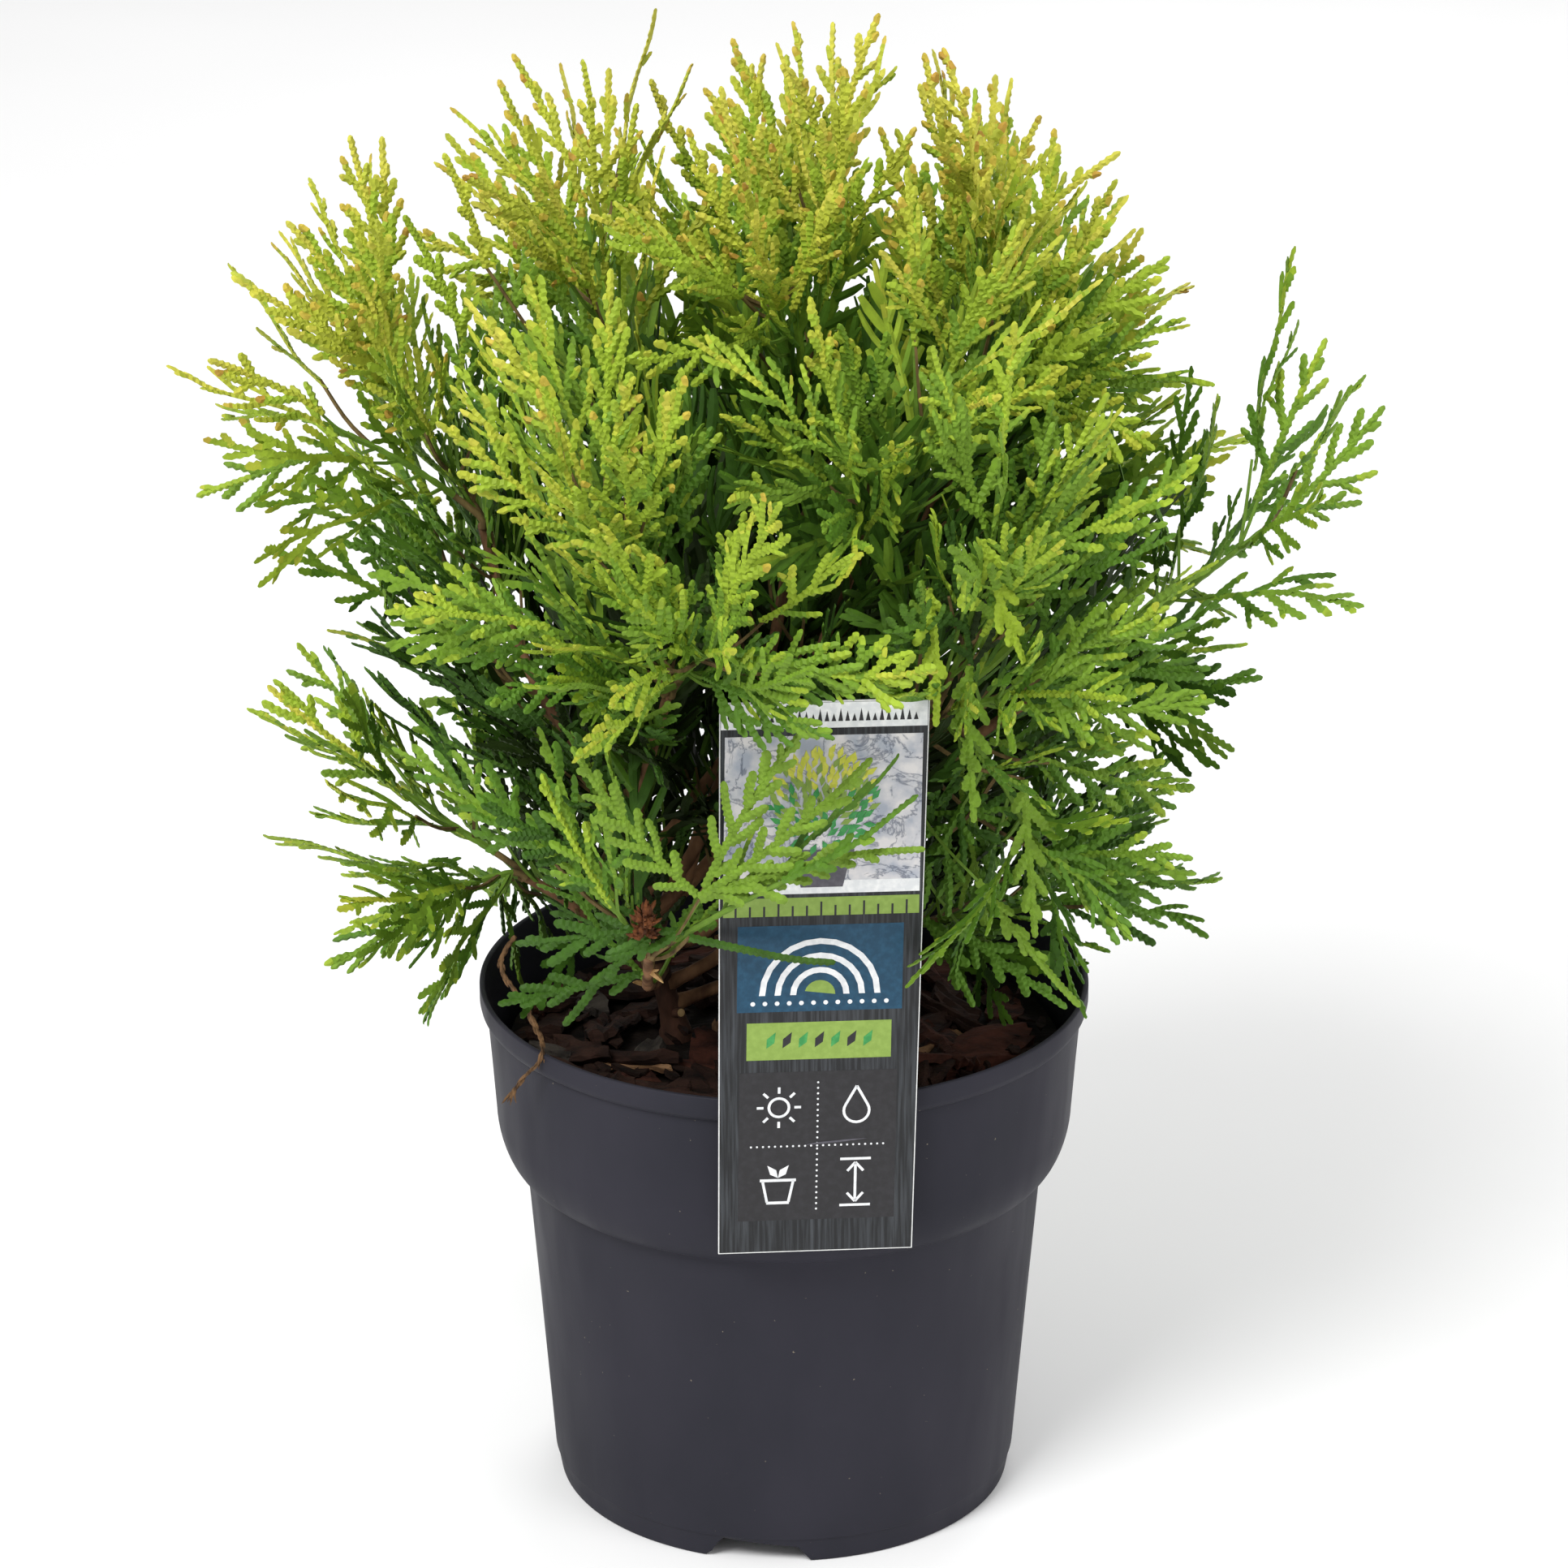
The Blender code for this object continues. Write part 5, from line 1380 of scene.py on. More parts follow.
def spray_strips(rule, length, share, look, apart):
    """Every strip of one spray in its own plane, each with how far out on the spray it is."""
    bend = rule.uniform(-0.34, 0.34)
    shown = look == "shown"
    strips = [(strip((0, 0), 0.0, bend, length, AXIS_WIDTH, look=look), 0.80)]
    spacing = BRANCHLET_SPACING * rule.uniform(0.92, 1.12) * apart
    uneven = {edge: rule.uniform(0.80, 1.06) for edge in (-1, 1)}
    edge = rule.choice((-1, 1))
    place = length * 0.08
    while place < length * 0.95:
        s = place / length
        heading = bend * s
        start = (place * math.cos(heading / 2), place * math.sin(heading / 2))
        grow = (1 - s ** 2.2) * (0.58 + 0.42 * min(1, s / 0.2))
        reach = length * share * grow * uneven[edge] * rule.uniform(0.66, 1.12)
        leads = rule.random() < BRANCHLET_LONG[0] and not shown
        reach *= BRANCHLET_LONG[1] if leads else 1.0
        if reach > BRANCHLET_LEAST and rule.random() > BRANCHLET_MISSING:
            angle = BRANCHLET_ANGLES[0] + (BRANCHLET_ANGLES[1] - BRANCHLET_ANGLES[0]) * s
            turn = heading + edge * (angle * (0.7 if leads else 1.0) + rule.uniform(-0.12, 0.12))
            curve = -edge * rule.uniform(0.15, 0.55)
            lift = rule.uniform(-0.0002, 0.0003)
            tilt = rule.uniform(-0.14, 0.16)
            roll = rule.uniform(-BRANCHLET_ROLL, BRANCHLET_ROLL)
            width = BRANCHLET_WIDTH * rule.uniform(0.86, 1.10) * (SHOWN_WIDER if shown else 1.0)
            strips.append((strip(start, turn, curve, reach, width, lift, tilt, roll, look), s))
            if look == "fine":
                strips += twiglets(rule, start, turn, curve, reach, edge, lift, tilt, s)
        edge = -edge
        place += spacing * rule.uniform(0.75, 1.25)
    return strips


def twiglets(rule, start, turn, curve, reach, edge, lift, tilt, s):
    """The short side shoots of a long branchlet, on its two sides in turn."""
    strips = []
    if reach < TWIGLET_LONG:
        return strips
    place = TWIGLET_START * rule.uniform(0.8, 1.3)
    while place < reach - TWIGLET_START:
        length = min(TWIGLET_LIMITS[1], (reach - place) * 0.66) * rule.uniform(0.75, 1.1)
        if length > TWIGLET_LIMITS[0]:
            share = place / reach
            root = (start[0] + place * math.cos(turn + curve * share / 2),
                    start[1] + place * math.sin(turn + curve * share / 2))
            heading = turn + curve * share + edge * (TWIGLET_ANGLE + rule.uniform(-0.1, 0.1))
            width = BRANCHLET_WIDTH * rule.uniform(0.80, 0.98)
            rise = lift + place * tilt + rule.uniform(-0.0003, 0.0003)
            roll = rule.uniform(-BRANCHLET_ROLL, BRANCHLET_ROLL)
            strips.append((strip(root, heading, -edge * 0.2, length, width, rise, tilt, roll), min(1, s + 0.15)))
        edge = -edge
        place += TWIGLET_SPACING * rule.uniform(0.75, 1.2)
    return strips


class Leaves:
    """Strips of scale leaves by colour, and the masses that each colour is found in."""

    def __init__(self):
        self.grids = [[] for _ in LEAF_COLOURS]
        self.owners = [set() for _ in LEAF_COLOURS]

    def add(self, kind, grid, owner):
        self.grids[kind].append(grid)
        self.owners[kind].add(owner)

    def add_spray(self, rule, spray, owner):
        """One spray, set in its place, a little cupped and twisted, its strips dealt out by colour."""
        base, along, flat, length = spray[:4]
        middle = base + along * length * 0.6
        if (base + along * length).z > TURNED_Z and rule.random() < TURNED_SHARE:
            front = square_to(Vector(SHOWN_FACING), along)
            flat = Matrix.Rotation(rule.uniform(-0.6, 0.6), 3, along) @ front
        inner = HIGH_FACING_FROM if middle.z > HIGH_FACING_FROM[2] else FACING_FROM
        if flat.dot(middle - Vector(inner)) < 0:
            flat = -flat
        side = flat.cross(along).normalized()
        deep = depth_in_crown(middle) > COARSE_DEEP
        look = "shown" if spray.colour else "coarse" if deep else "fine"
        share = spray.share
        if look == "fine":
            share *= float(np.interp((base + along * length).z, HIGH_AT, HIGH_SHARE))
        strips = spray_strips(rule, length, share, look, spray.apart)
        points = np.concatenate([grid for grid, _ in strips])
        u, v, w = points[..., 0], points[..., 1], points[..., 2]
        droop = rule.uniform(-0.6, 1.0) * (-0.11 if flat.z > 0 else 0.11)
        w = w + droop * u * u / length + rule.uniform(-0.8, 0.8) * v * v / length
        w = w + 0.0009 * np.sin(u * 150 + rule.uniform(0, 6)) * np.cos(v * 110)
        twist = rule.uniform(-0.45, 0.45) * u / length
        v, w = v * np.cos(twist) - w * np.sin(twist), v * np.sin(twist) + w * np.cos(twist)
        axes = np.array([tuple(along), tuple(side), tuple(flat)])
        points = np.array(tuple(base)) + np.stack([u, v, w], axis=2) @ axes
        light = sunlight(middle) + rule.uniform(-0.10, 0.10) - spray.darker
        start = 0
        for grid, out in strips:
            end = start + len(grid)
            self.deal(rule, points[start:end], owner, light, out, spray.colour)
            start = end

    def deal(self, rule, grid, owner, light, out, colour):
        """One strip's colour: its spray's own, or by how sunlit that is and how far out the strip is."""
        tone = light + 0.20 * (out - 0.5) + rule.uniform(-0.05, 0.05)
        kind = min(LEAF_STEPS, max(0, int(tone * (LEAF_STEPS + 1))))
        chance = rule.random()
        tip = None
        split = len(grid) - 4
        if colour:
            kind = LEAF_NAMES.index(colour)
        elif light > 0.64 and chance < (light - 0.55) * 1.7:
            tip = BRONZE if chance > (light - 0.66) * 0.5 else RUST
        elif light > 0.40 and chance > 0.55:
            tip = min(LEAF_STEPS, kind + 1)
            split = int(len(grid) * TIP_SHARE)
        if tip is None or split < 1:
            self.add(kind, grid, owner)
            return
        self.add(kind, grid[:split + 1], owner)
        self.add(tip, grid[split:], owner)

    def build(self):
        """The joined pieces, one or more for each colour."""
        total = 0
        for (name, colour, slot), grids, owners in zip(LEAF_COLOURS, self.grids, self.owners):
            if not grids:
                continue
            material = leaf_material(name, colour)
            triangles = sum(6 * (len(grid) - 1) + 2 for grid in grids)
            total += triangles
            pieces = math.ceil(triangles / PIECE_LIMIT)
            size = math.ceil(len(grids) / pieces)
            nodes = [f"foliage_{owner}" for owner in sorted(owners)]
            for part in range(pieces):
                title = name if pieces == 1 else f"{name}_{part + 1}"
                mesh = leaf_mesh(title, grids[part * size:(part + 1) * size])
                link(title, mesh, [material], nodes)
            print(name, triangles)
        print("leaf triangles", total)


def leaf_mesh(name, grids):
    """One mesh of many strips, each a closed three-sided shape."""
    points = np.concatenate([grid.reshape(-1, 3) for grid in grids])
    columns = np.array([0, 1, 2])
    quads, caps = [], []
    start = 0
    for grid in grids:
        low = start + 3 * np.arange(len(grid) - 1)[:, None]
        here, after = low + columns, low + np.roll(columns, -1)
        quads.append(np.stack([here, here + 3, after + 3, after], axis=2).reshape(-1, 4))
        last = start + 3 * (len(grid) - 1)
        caps += [(start, start + 1, start + 2), (last + 2, last + 1, last)]
        start += 3 * len(grid)
    quads = np.concatenate(quads)
    caps = np.array(caps)
    mesh = bpy.data.meshes.new(name)
    mesh.vertices.add(len(points))
    mesh.vertices.foreach_set("co", points.ravel())
    mesh.loops.add(quads.size + caps.size)
    corners = np.concatenate([quads.ravel(), caps.ravel()]).astype(np.int32)
    mesh.loops.foreach_set("vertex_index", corners)
    mesh.polygons.add(len(quads) + len(caps))
    starts = np.concatenate([4 * np.arange(len(quads)), quads.size + 3 * np.arange(len(caps))])
    mesh.polygons.foreach_set("loop_start", starts.astype(np.int32))
    mesh.update(calc_edges=True)
    mesh.shade_smooth()
    mesh.set_sharp_from_angle(angle=math.radians(SCALE_EDGE))
    return mesh


def depth_in_crown(point):
    """How deep a place is in the crown: 0 at its outside, 1 at its centre."""
    off = point - Vector(CROWN_CENTRE)
    return 1 - math.sqrt((off.x / 0.185) ** 2 + (off.y / 0.170) ** 2 + (off.z / 0.163) ** 2)


def sunlight(point):
    """How sunlit a place in the crown is: 0 low down and inside, 1 at its top and outside."""
    height = (point.z - CROWN_LOW_Z) / (REACH_TOP - CROWN_LOW_Z)
    out = 1 - max(0, depth_in_crown(point))
    return 0.60 * height + 0.35 * out ** 2


def grow_crown():
    """The trunk's boughs by the source's rule, and every mass with its finer sprays."""
    guards = Guards()
    guard_the_pot(guards)
    guards.add_line(*trunk_line(), "trunk")
    guards.add_line(*sprig_line(), "sprig")
    boughs = {}
    for name in BOUGHS:
        line, radii, _ = bough_line(name)
        boughs[name] = (line, radii)
        guards.add_line(line, radii, f"bough_{name}")
    centres = {name: boughs[bough][0][-1].lerp(Vector(tip), CELL_SHARE)
               for name, (bough, tip, count) in MASSES.items()}
    growths = []
    for index, (name, (bough, tip, count)) in enumerate(MASSES.items()):
        growth = Growth(name, index, boughs[bough][0], centres, guards)
        guards.add_line(growth.stem, growth.stem_radii(), name)
        growths.append(growth)
    for growth in growths:
        growth.grow(MASSES[growth.name][2])
    crown = Crown(guards, boughs)
    for growth in growths:
        for spray in growth.sprays:
            crown.take(envelope(*spray[:4]))
    by_name = {growth.name: growth for growth in growths}
    for name, *spray in SHOWN_SPRAYS:
        by_name[name].show(*spray, crown)
    for inner, many in ((False, FILL_SHARE), (True, INNER_SHARE)):
        counts = {name: round(row[2] * many * OWN_LOOKS.get(name, USUAL_LOOKS)[0]) for name, row in MASSES.items()}
        for turn in range(max(counts.values())):
            for growth in growths:
                if turn < counts[growth.name]:
                    growth.fill(crown, inner)
    for growth in growths:
        growth.dress()
    return boughs, growths


def make_limbs(boughs):
    """The trunk and boughs as one mesh with the bark's relief, its stub and the stub's pale scar."""
    limbs = Bundle()
    path = smooth_path(TRUNK_POINTS, 0.0012)
    radii = []
    for k, point in enumerate(path):
        flare = FLARE_RADIUS * math.exp(-(point.z - path[0].z) / FLARE_LENGTH)
        radii.append(TRUNK_FOOT_RADIUS + (TRUNK_TOP_RADIUS - TRUNK_FOOT_RADIUS) * k / (len(path) - 1) + flare)
    sunk = [path[0] - Vector((0, 0, 0.004)), *path, path[-1] + (path[-1] - path[-2]).normalized() * 0.002]
    limbs.add(*tube(sunk, [radii[0], *radii, radii[-1] * 0.7], 26, Vector((0, 0, 1)), 0.00042))
    centre, _ = on_trunk(STUB_Z)
    out = Vector((math.cos(STUB_HEADING), math.sin(STUB_HEADING), 0.35)).normalized()
    stub = [centre + out * STUB_LENGTH * k / 6 for k in range(7)]
    limbs.add(*tube(stub, [STUB_RADIUS * (1.25 - 0.04 * k) for k in range(7)], 14, None, 0.00022, 5.0))
    cut = [stub[-1] - out * 0.0003, stub[-1] + out * 0.0001, stub[-1] + out * 0.00022]
    limbs.add(*tube(cut, [STUB_RADIUS * 0.84, STUB_RADIUS * 0.84, STUB_RADIUS * 0.5], 14), 1)
    for index, name in enumerate(BOUGHS):
        line, ends = boughs[name]
        facing = bough_line(name)[2]
        root = line[0] - facing * 0.0020
        way = smooth_path([root, *line], 0.0022)
        way.append(way[-1] + (way[-1] - way[-2]).normalized() * 0.0010)
        count = len(way) - 1
        thick = []
        for k in range(count + 1):
            base = ends[0] + (ends[-1] - ends[0]) * k / count
            thick.append(base * (1 + 0.45 * math.exp(-k * 0.0022 / 0.0035)))
        thick[-1] *= 0.55
        limbs.add(*tube(way, thick, 14, facing, 0.00024, 11.0 * index), 2)
    bark = bark_material("bark", rgb(40, 26, 20), rgb(92, 62, 48))
    young = bark_material("young_bark", rgb(80, 54, 36), rgb(156, 116, 82))
    scar = bark_material("cut_wood", rgb(150, 118, 76), rgb(206, 176, 126), 400, 0.0003)
    nodes = ["trunk", *(f"bough_{name}" for name in BOUGHS)]
    link("bark_limbs", limbs.mesh("bark_limbs", 60), [bark, scar, young], nodes)


def make_twigs(growths):
    """Stems and twigs inside the masses: brown and smooth at first, then green and scaly."""
    brown, green = Bundle(), Bundle()
    for index, growth in enumerate(growths):
        start = growth.stem[0] - growth.heading * 0.0008
        path = smooth_path([start, *growth.stem], 0.0024)
        count = len(path) - 1
        split = max(1, round(count * 0.25))
        radii = [STEM_BASE_RADIUS + (STEM_TIP_RADIUS * 1.5 - STEM_BASE_RADIUS) * k / count
                 for k in range(count + 1)]
        brown.add(*tube(path[:split + 1], radii[:split + 1], 7, None, 0.00012, 3.0 * index))
        scaly = [radius * (1.18 if k % 2 else 0.95) for k, radius in enumerate(radii)]
        green.add(*tube(path[split:], scaly[split:], 5))
        for k, (root, end) in enumerate(growth.twigs):
            bundle = brown if (end - root).length > 0.018 and k % 2 else green
            sag = (end - root).length * 0.08 * Vector((0, 0, -1))
            way = smooth_path([root, root.lerp(end, 0.5) + sag, end], 0.0045)
            bundle.add(*tube(way, [0.00075 - 0.00020 * n / (len(way) - 1) for n in range(len(way))], 4))
    stems = bark_material("stem_bark", rgb(74, 58, 34), rgb(128, 108, 66), 260, 0.0003)
    shoots = leaf_material("shoot_green", rgb(100, 132, 44))
    link("stems_brown", brown.mesh("stems_brown", 60), [stems])
    link("stems_green", green.mesh("stems_green", 60), [shoots])


def make_foliage(growths):
    """Every spray of every mass as scale leaves, dealt out by colour."""
    leaves = Leaves()
    for index, growth in enumerate(growths):
        rule = random.Random(SEED + 13 * index + 5)
        for spray in growth.sprays:
            leaves.add_spray(rule, spray, growth.name)
    leaves.build()


def strand(start, way, length, radius, curl):
    """A thin dry strip from its root, curling to one side as it goes."""
    side = square_to(curl, way)
    line = [start + way * length * t + side * length * 0.35 * t * t for t in (0.0, 0.35, 0.7, 1.0)]
    return tube(line, [radius * 0.7, radius, radius * 0.75, radius * 0.2], 4)


def make_sprig():
    """The dead sprig: a thin withered shoot with curled scales and a frayed end."""
    rule = random.Random(SEED + 3)
    path, radii = sprig_line()
    sprig = Bundle()
    fine = smooth_path(path, 0.0011)
    count = len(fine) - 1
    thick = [radii[0] + (radii[-1] - radii[0]) * k / count for k in range(count + 1)]
    thick = [0.58 * radius * (1.22 if k % 2 else 0.80) for k, radius in enumerate(thick)]
    thick[-1] *= 0.4
    sprig.add(*tube(fine, thick, 7, None, 0.00025, 2.0))
    for k in range(1, count):
        ahead = (fine[k + 1] - fine[k]).normalized()
        out = Matrix.Rotation(rule.uniform(0, 2 * math.pi), 3, ahead) @ ahead.orthogonal().normalized()
        way = (ahead + out * rule.uniform(0.25, 0.6)).normalized()
        sprig.add(*strand(fine[k] + out * thick[k] * 0.6, way, rule.uniform(0.0022, 0.0046), 0.00046, -out))
    for _ in range(FRAYED_ENDS):
        ahead = (fine[-1] - fine[-3]).normalized()
        spread = Vector((rule.uniform(-0.7, 0.5), rule.uniform(-0.3, 0.1), rule.uniform(-0.5, 0.2)))
        way = (ahead + spread).normalized()
        sprig.add(*strand(fine[-3], way, rule.uniform(0.003, 0.006), 0.00042, Vector((rule.uniform(-1, 1), 0, -0.6))))
    material = bark_material("dead_leaves", rgb(52, 36, 22), rgb(126, 94, 62), 520, 0.0006)
    link("dead_sprig_shoot", sprig.mesh("dead_sprig_shoot", 60), [material], ("dead_sprig",))


def make_cones(boughs):
    """A cluster of small rust-brown cones over the low front bough, and pale dry scales beside it."""
    rule = random.Random(SEED + 4)
    line, _ = boughs["front_low"]
    twig = [line[-1], line[-1].lerp(Vector(CONE_TWIG), 0.5) + Vector((0, -0.002, 0)), Vector(CONE_TWIG)]
    cones, dry = Bundle(), Bundle()
    for k in range(CONE_COUNT):
        root, ahead = along_limb(twig, CONE_PLACES[0] + (CONE_PLACES[1] - CONE_PLACES[0]) * k / CONE_COUNT)
        out = Matrix.Rotation(GOLDEN_ANGLE * k, 3, ahead) @ ahead.orthogonal().normalized()
        axis = (out + ahead * 0.5 + Vector((0, 0, 0.4))).normalized()
        start = root + out * STEM_BASE_RADIUS * 0.7
        size = rule.uniform(*CONE_SIZE)
        shape = ((0.0, 0.18), (0.2, 0.42), (0.5, 0.50), (0.8, 0.36), (1.0, 0.10))
        cones.add(*tube([start + axis * size * t for t, _ in shape], [size * r for _, r in shape], 6))
        for n in range(6):
            turn = GOLDEN_ANGLE * n
            open_way = Matrix.Rotation(turn, 3, axis) @ axis.orthogonal().normalized()
            way = (axis + open_way * 0.8).normalized()
            seat = start + axis * size * (0.2 + 0.1 * n) + open_way * size * 0.25
            cones.add(*strand(seat, way, size * 0.75, size * 0.22, axis))
    cones.add(*tube(twig, [0.0009, 0.0008, 0.0006], 6))
    for share, heading in ((0.48, 150), (0.70, 60), (0.86, -30)):
        root, _ = along_limb(line, share)
        way = Vector((math.cos(math.radians(heading)), -0.3, math.sin(math.radians(heading)))).normalized()
        dry.add(*strand(root, way, 0.0062, 0.0010, Vector((0, -1, 0))))
        dry.add(*strand(root, (way + Vector((0, -0.5, 0.4))).normalized(), 0.0045, 0.0008, Vector((0, 0, 1))))
    rust = bark_material("cone_rust", rgb(56, 30, 16), rgb(122, 70, 36), 500, 0.0004)
    pale = bark_material("dry_scale", rgb(150, 112, 66), rgb(208, 170, 116), 500, 0.0003)
    link("cone_cluster", cones.mesh("cone_cluster", 50), [rust])
    link("dry_scales", dry.mesh("dry_scales", 50), [pale])


def ink_material(name, dark, light, scale=500, stretch=(1, 1, 1)):
    """Printed film over card: one ink, a little uneven, under a satin coat."""
    material, tree, shader = finish(f"ink_{name}", 0.40, 0.3)
    tree.links.new(ramp(tree, grain(tree, scale, 6, stretch), (0.42, dark), (0.72, light)),
                   shader.inputs["Base Color"])
    bump(tree, shader, grain(tree, 900, 2), 0.08, 0.0001)
    return material


def stone_material():
    """The pale stone in the label's picture: mottled greys, cracked into slabs."""
    material, tree, shader = finish("ink_stone", 0.40, 0.3)
    place = add_node(tree, "ShaderNodeTexCoord")
    cracks = add_node(tree, "ShaderNodeTexNoise", Scale=85.0, Detail=5.0, Roughness=0.62, Distortion=0.9)
    tree.links.new(place.outputs["Object"], cracks.inputs["Vector"])
    pale = rgb(240, 240, 242)
    seams = ramp(tree, cracks.outputs["Fac"], (0.455, pale), (0.490, rgb(150, 155, 166)), (0.525, pale))
    mottle = ramp(tree, grain(tree, 130, 8), (0.35, rgb(170, 176, 188)), (0.62, rgb(228, 224, 222)))
    mix = add_node(tree, "ShaderNodeMix", data_type="RGBA", blend_type="MULTIPLY")
    mix.inputs["Factor"].default_value = 1.0
    tree.links.new(mottle, mix.inputs["A"])
    tree.links.new(seams, mix.inputs["B"])
    tree.links.new(mix.outputs["Result"], shader.inputs["Base Color"])
    return material


class Print:
    """Thin flat shapes on the label, each in one ink; heights are down from the card's top edge."""

    def __init__(self, bundle):
        self.bundle = bundle
        self.placed = card_frame()
        self.back = -(RIM_RADIUS + GAP)

    def shape(self, outline, ink, layer=2, behind=False):
        """One outline, counterclockwise as the label's face shows it; layers rise one over another."""
        if behind:
            depths = (self.back - PRINT_SUNK, self.back + PRINT_RISE * layer)
        else:
            depths = (self.back - CARD_THICKNESS - PRINT_RISE * layer, self.back - CARD_THICKNESS + PRINT_SUNK)
        corners = [self.placed @ Vector((x, y, CARD_TOP_Z - down)) for y in depths for x, down in outline]
        self.bundle.add(corners, prism_faces(len(outline)), INK_NAMES.index(ink))

    def box(self, left, top, right, low, ink, layer=2):
        self.shape([(left, low), (right, low), (right, top), (left, top)], ink, layer)

    def line(self, a, b, width, ink, layer=3):
        ax, ay = a
        bx, by = b
        size = math.hypot(bx - ax, by - ay)
        px, py = (by - ay) / size * width / 2, -(bx - ax) / size * width / 2
        self.shape([(ax - px, ay - py), (bx - px, by - py), (bx + px, by + py), (ax + px, ay + py)], ink, layer)

    def arc(self, centre, outer, inner, first, last, ink, layer=3):
        """Part of a ring between two angles in degrees; an inner radius of 0 makes it a disc."""
        x, down = centre
        steps = max(3, round((last - first) / 15))
        turns = [math.radians(first + (last - first) * k / steps) for k in range(steps + 1)]
        rims = [[(x + radius * math.cos(t), down - radius * math.sin(t)) for t in turns]
                for radius in (outer, inner)]
        if inner == 0:
            self.shape(rims[0][:-1], ink, layer)
            return
        for k in range(steps):
            self.shape([rims[0][k], rims[0][k + 1], rims[1][k + 1], rims[1][k]], ink, layer)

    def dot(self, x, down, radius, ink, layer=3):
        self.arc((x, down), radius, 0, 0, 360, ink, layer)

    def leaf(self, x, down, length, turn, ink, layer=3):
        """A pointed leaf that starts at a point and heads off at an angle in degrees."""
        ahead = Vector((math.cos(math.radians(turn)), -math.sin(math.radians(turn)))) * length
        out = Vector((ahead.y, -ahead.x)) * 0.22
        foot = Vector((x, down))
        self.shape([foot, foot + ahead * 0.45 - out, foot + ahead, foot + ahead * 0.45 + out], ink, layer)


def card_outline(inset):
    """The card's front, narrower at its foot, drawn in by an inset all round."""
    low, top = CARD_LOW_WIDTH / 2 - inset, CARD_TOP_WIDTH / 2 - inset
    foot = CARD_TOP_Z - CARD_LOW_Z - inset
    return [(-low, foot), (low, foot), (top, inset), (-top, inset)]


def print_picture(face):
    """A pale stone panel with a round golden bush in a tub."""
    rule = random.Random(SEED + 6)
    face.box(-0.0289, 0.0105, 0.0289, 0.0600, "stone")
    face.box(-0.0289, 0.0560, 0.0289, 0.0600, "white", 3)
    middle = Vector((0.0, 0.0310))
    face.shape([(-0.0062, 0.0580), (0.0062, 0.0580), (0.0086, 0.0475), (-0.0086, 0.0475)], "tub", 4)
    face.box(-0.0094, 0.0462, 0.0094, 0.0482, "tub", 5)
    for k in range(BUSH_LEAVES):
        share = math.sqrt((k + 0.5) / BUSH_LEAVES)
        turn = GOLDEN_ANGLE * k
        place = middle + Vector((math.cos(turn), math.sin(turn))) * 0.0145 * share
        height = (middle.y - place.y) / 0.0145 + rule.uniform(-0.5, 0.5)
        ink = "gold" if height > 0.35 else "lime" if height > -0.25 else "green"
        heading = 90 - math.degrees(math.atan2(place.x - middle.x, middle.y - place.y + 0.012))
        face.leaf(place.x, place.y, 0.0042, heading + rule.uniform(-30, 30), ink, 4 + k % 5)


def print_icons(face):
    """A dark panel of four plain pictures: sun, drop, pot and height, parted by dotted lines."""
    face.box(-0.0235, 0.1170, 0.0235, 0.1655, "dark")
    across, down = 0.0116, (0.1285, 0.1535)
    for k in range(23):
        face.dot(-0.0198 + 0.0018 * k, 0.1412, 0.00032, "white")
    for k in range(24):
        face.dot(0.0, 0.1206 + 0.0018 * k, 0.00032, "white")
    face.arc((-across, down[0]), 0.0034, 0.0026, 0, 360, "white")
    for k in range(8):
        way = Vector((math.cos(k * math.pi / 4), math.sin(k * math.pi / 4)))
        hub = Vector((-across, down[0]))
        face.line(hub + way * 0.0046, hub + way * 0.0066, 0.0008, "white")
    face.arc((across, down[0] + 0.0016), 0.0042, 0.0034, 150, 390, "white")
    for side in (-1, 1):
        face.line((across + side * 0.0033, down[0] - 0.0003), (across, down[0] - 0.0064), 0.0008, "white")
        face.line((-across + side * 0.0046, down[1] - 0.0010), (-across + side * 0.0032, down[1] + 0.0060),
                  0.0008, "white")
        face.leaf(-across, down[1] - 0.0020, 0.0052, 90 - side * 38, "white")
        face.line((across + side * 0.0024, down[1] - 0.0036), (across, down[1] - 0.0064), 0.0008, "white")
        face.line((across + side * 0.0024, down[1] + 0.0036), (across, down[1] + 0.0064), 0.0008, "white")
        face.line((across - 0.0046, down[1] + side * 0.0076), (across + 0.0046, down[1] + side * 0.0076),
                  0.0008, "white")
    face.line((-across - 0.0054, down[1] - 0.0012), (-across + 0.0054, down[1] - 0.0012), 0.0009, "white")
    face.line((-across - 0.0034, down[1] + 0.0062), (-across + 0.0034, down[1] + 0.0062), 0.0009, "white")
    face.line((across, down[1] - 0.0062), (across, down[1] + 0.0062), 0.0008, "white")


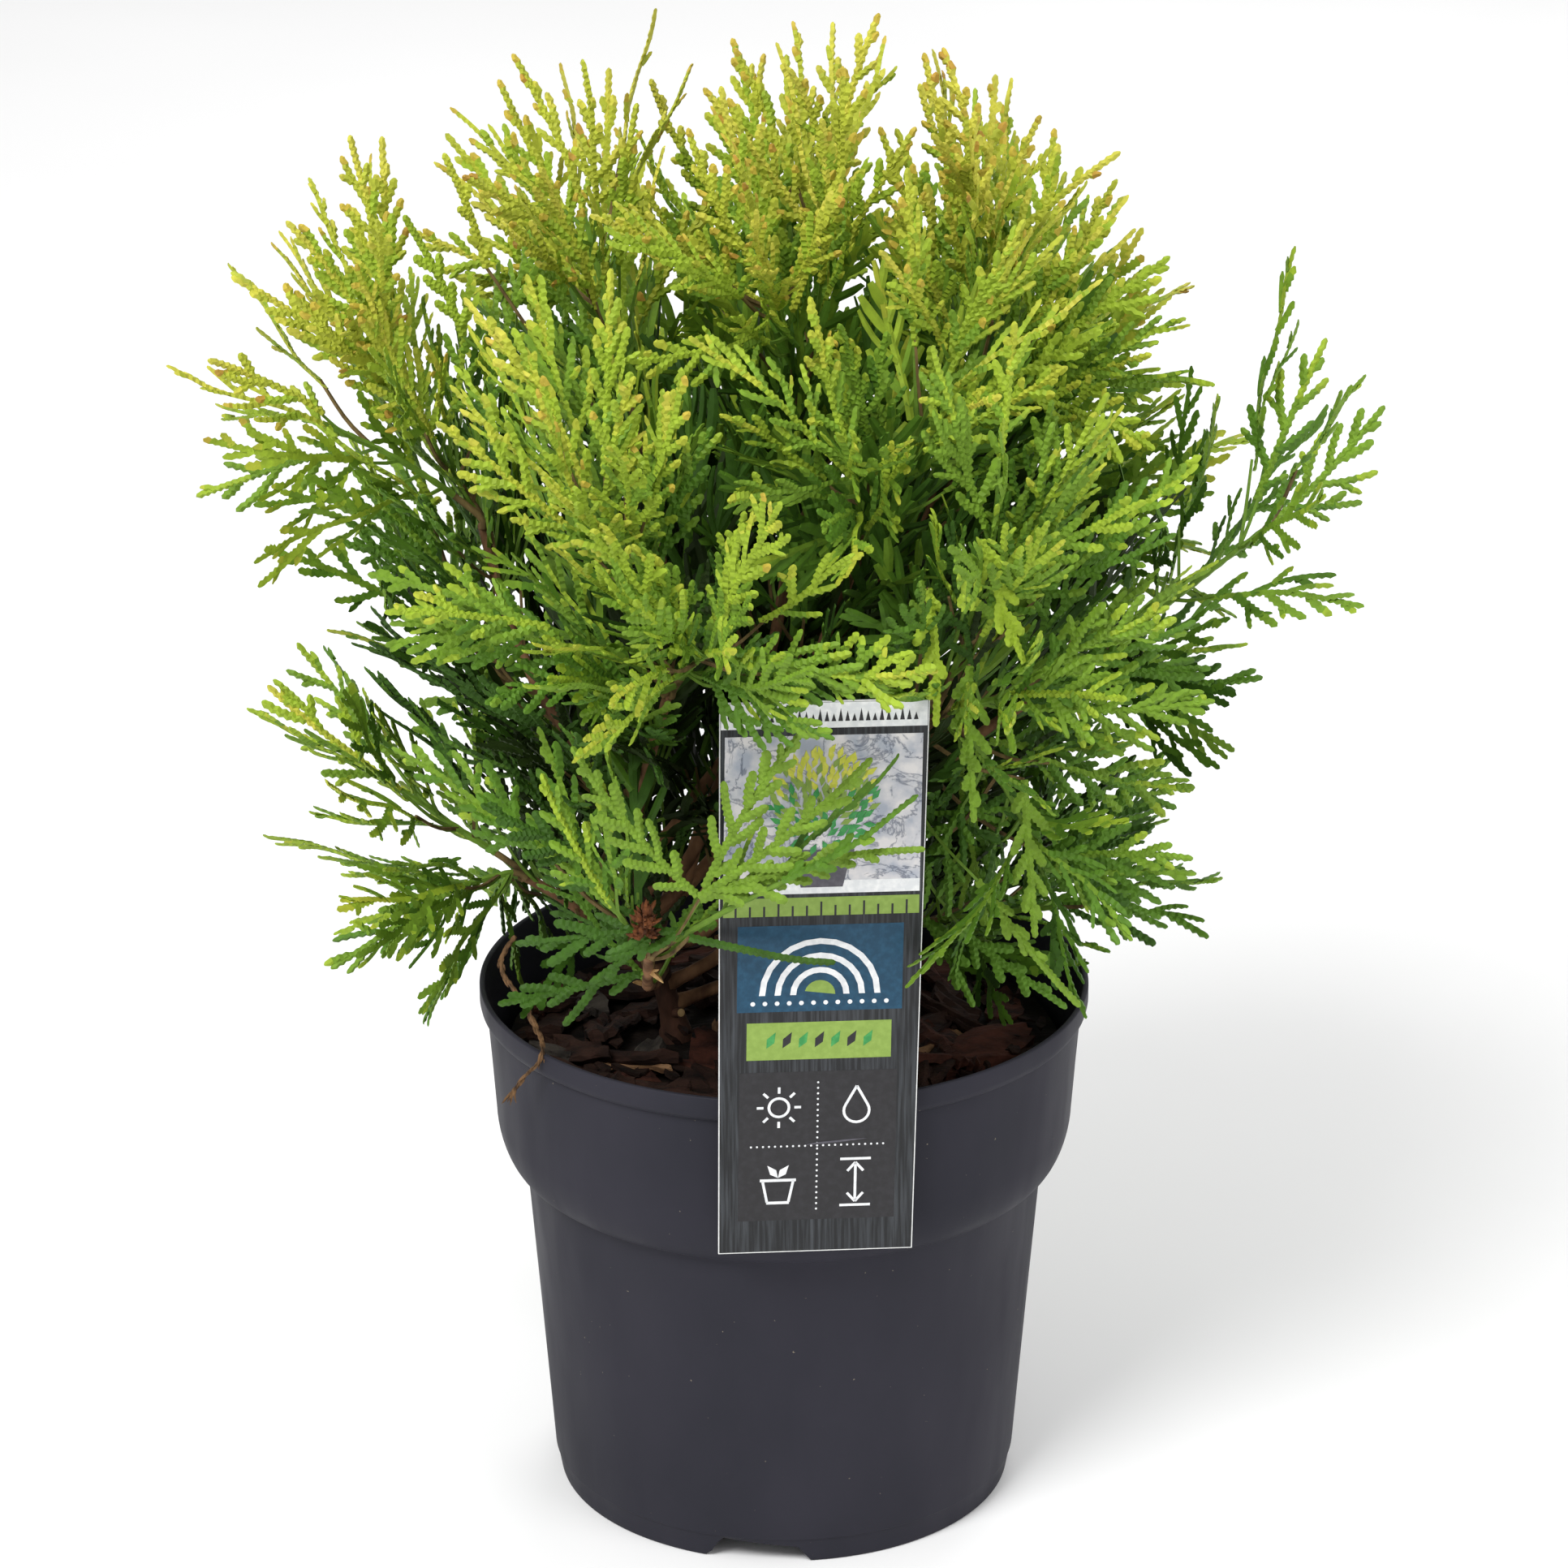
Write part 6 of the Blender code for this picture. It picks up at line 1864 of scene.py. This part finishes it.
def make_label():
    """The hanging label: white card with a tongue, a woodgrain face and a plain print of its own."""
    placed = card_frame()
    back = -(RIM_RADIUS + GAP)
    front = back - CARD_THICKNESS
    card = Bundle()
    outline = [(x, CARD_TOP_Z - down) for x, down in card_outline(0.0)]
    card.add([placed @ Vector((x, y, z)) for y in (front, back) for x, z in outline], prism_faces(4))
    under = POT_HEIGHT + GAP
    over = under + TONGUE_THICKNESS
    root = (front + back) / 2
    outer = -TONGUE_INNER_RADIUS
    inner = outer + TONGUE_THICKNESS
    side = [(root, under), (outer, under), (outer, TONGUE_LOW_Z), (inner, TONGUE_LOW_Z), (inner, over),
            (root, over)]
    card.add([placed @ Vector((x, y, z)) for x in (-TONGUE_WIDTH / 2, TONGUE_WIDTH / 2) for y, z in side],
             prism_faces(6))
    face = Print(card)
    face.shape(card_outline(PRINT_INSET), "wood", 1)
    face.shape(card_outline(PRINT_INSET), "wood", 1, behind=True)
    face.box(-0.0301, 0.0004, 0.0301, 0.0082, "white")
    # The hanging hole is not cut: a disc of painted shade in the shadow ink stands for it
    face.dot(-0.0262, 0.0042, 0.0020, "shadow")
    for k in range(24):
        left = -0.0200 + 0.0020 * k
        face.shape([(left, 0.0062), (left + 0.0014, 0.0062), (left + 0.0007, 0.0022 + 0.0008 * (k % 3))], "dark", 3)
    print_picture(face)
    face.box(-0.0289, 0.0612, 0.0289, 0.0670, "lime")
    for k in range(13):
        face.line((-0.0252 + 0.0042 * k, 0.0670), (-0.0252 + 0.0042 * k, 0.0638 if k % 3 else 0.0626), 0.0006,
                  "dark")
    face.box(-0.0245, 0.0700, 0.0245, 0.0975, "blue")
    for outer_radius in (0.0180, 0.0134, 0.0088):
        face.arc((0.0, 0.0922), outer_radius, outer_radius - 0.0018, 0, 180, "white")
    face.arc((0.0, 0.0922), 0.0046, 0, 0, 180, "lime")
    for k in range(12):
        face.dot(-0.0198 + 0.0036 * k, 0.0948, 0.0007, "white")
    face.box(-0.0215, 0.1010, 0.0215, 0.1130, "lime")
    for k in range(7):
        face.leaf(-0.0156 + 0.0048 * k, 0.1092, 0.0058, 62, "dark" if k % 2 else "green")
    print_icons(face)
    face.shape([(-0.0040, 0.1409), (0.0010, 0.1407), (0.0085, 0.1401), (0.0150, 0.1393), (0.0102, 0.1394),
                (0.0060, 0.1397), (0.0005, 0.1401)], "tub", 5)
    inks = [ink_material(name, *rest) for name, *rest in INKS] + [stone_material()]
    link("label_card_sheet", card.mesh("label_card_sheet", 30), inks, ("hanging_label",))


make_camera()
make_studio()
make_pot()
make_mulch()
make_label()
crown_boughs, crown_growths = grow_crown()
make_limbs(crown_boughs)
make_twigs(crown_growths)
make_foliage(crown_growths)
make_sprig()
make_cones(crown_boughs)
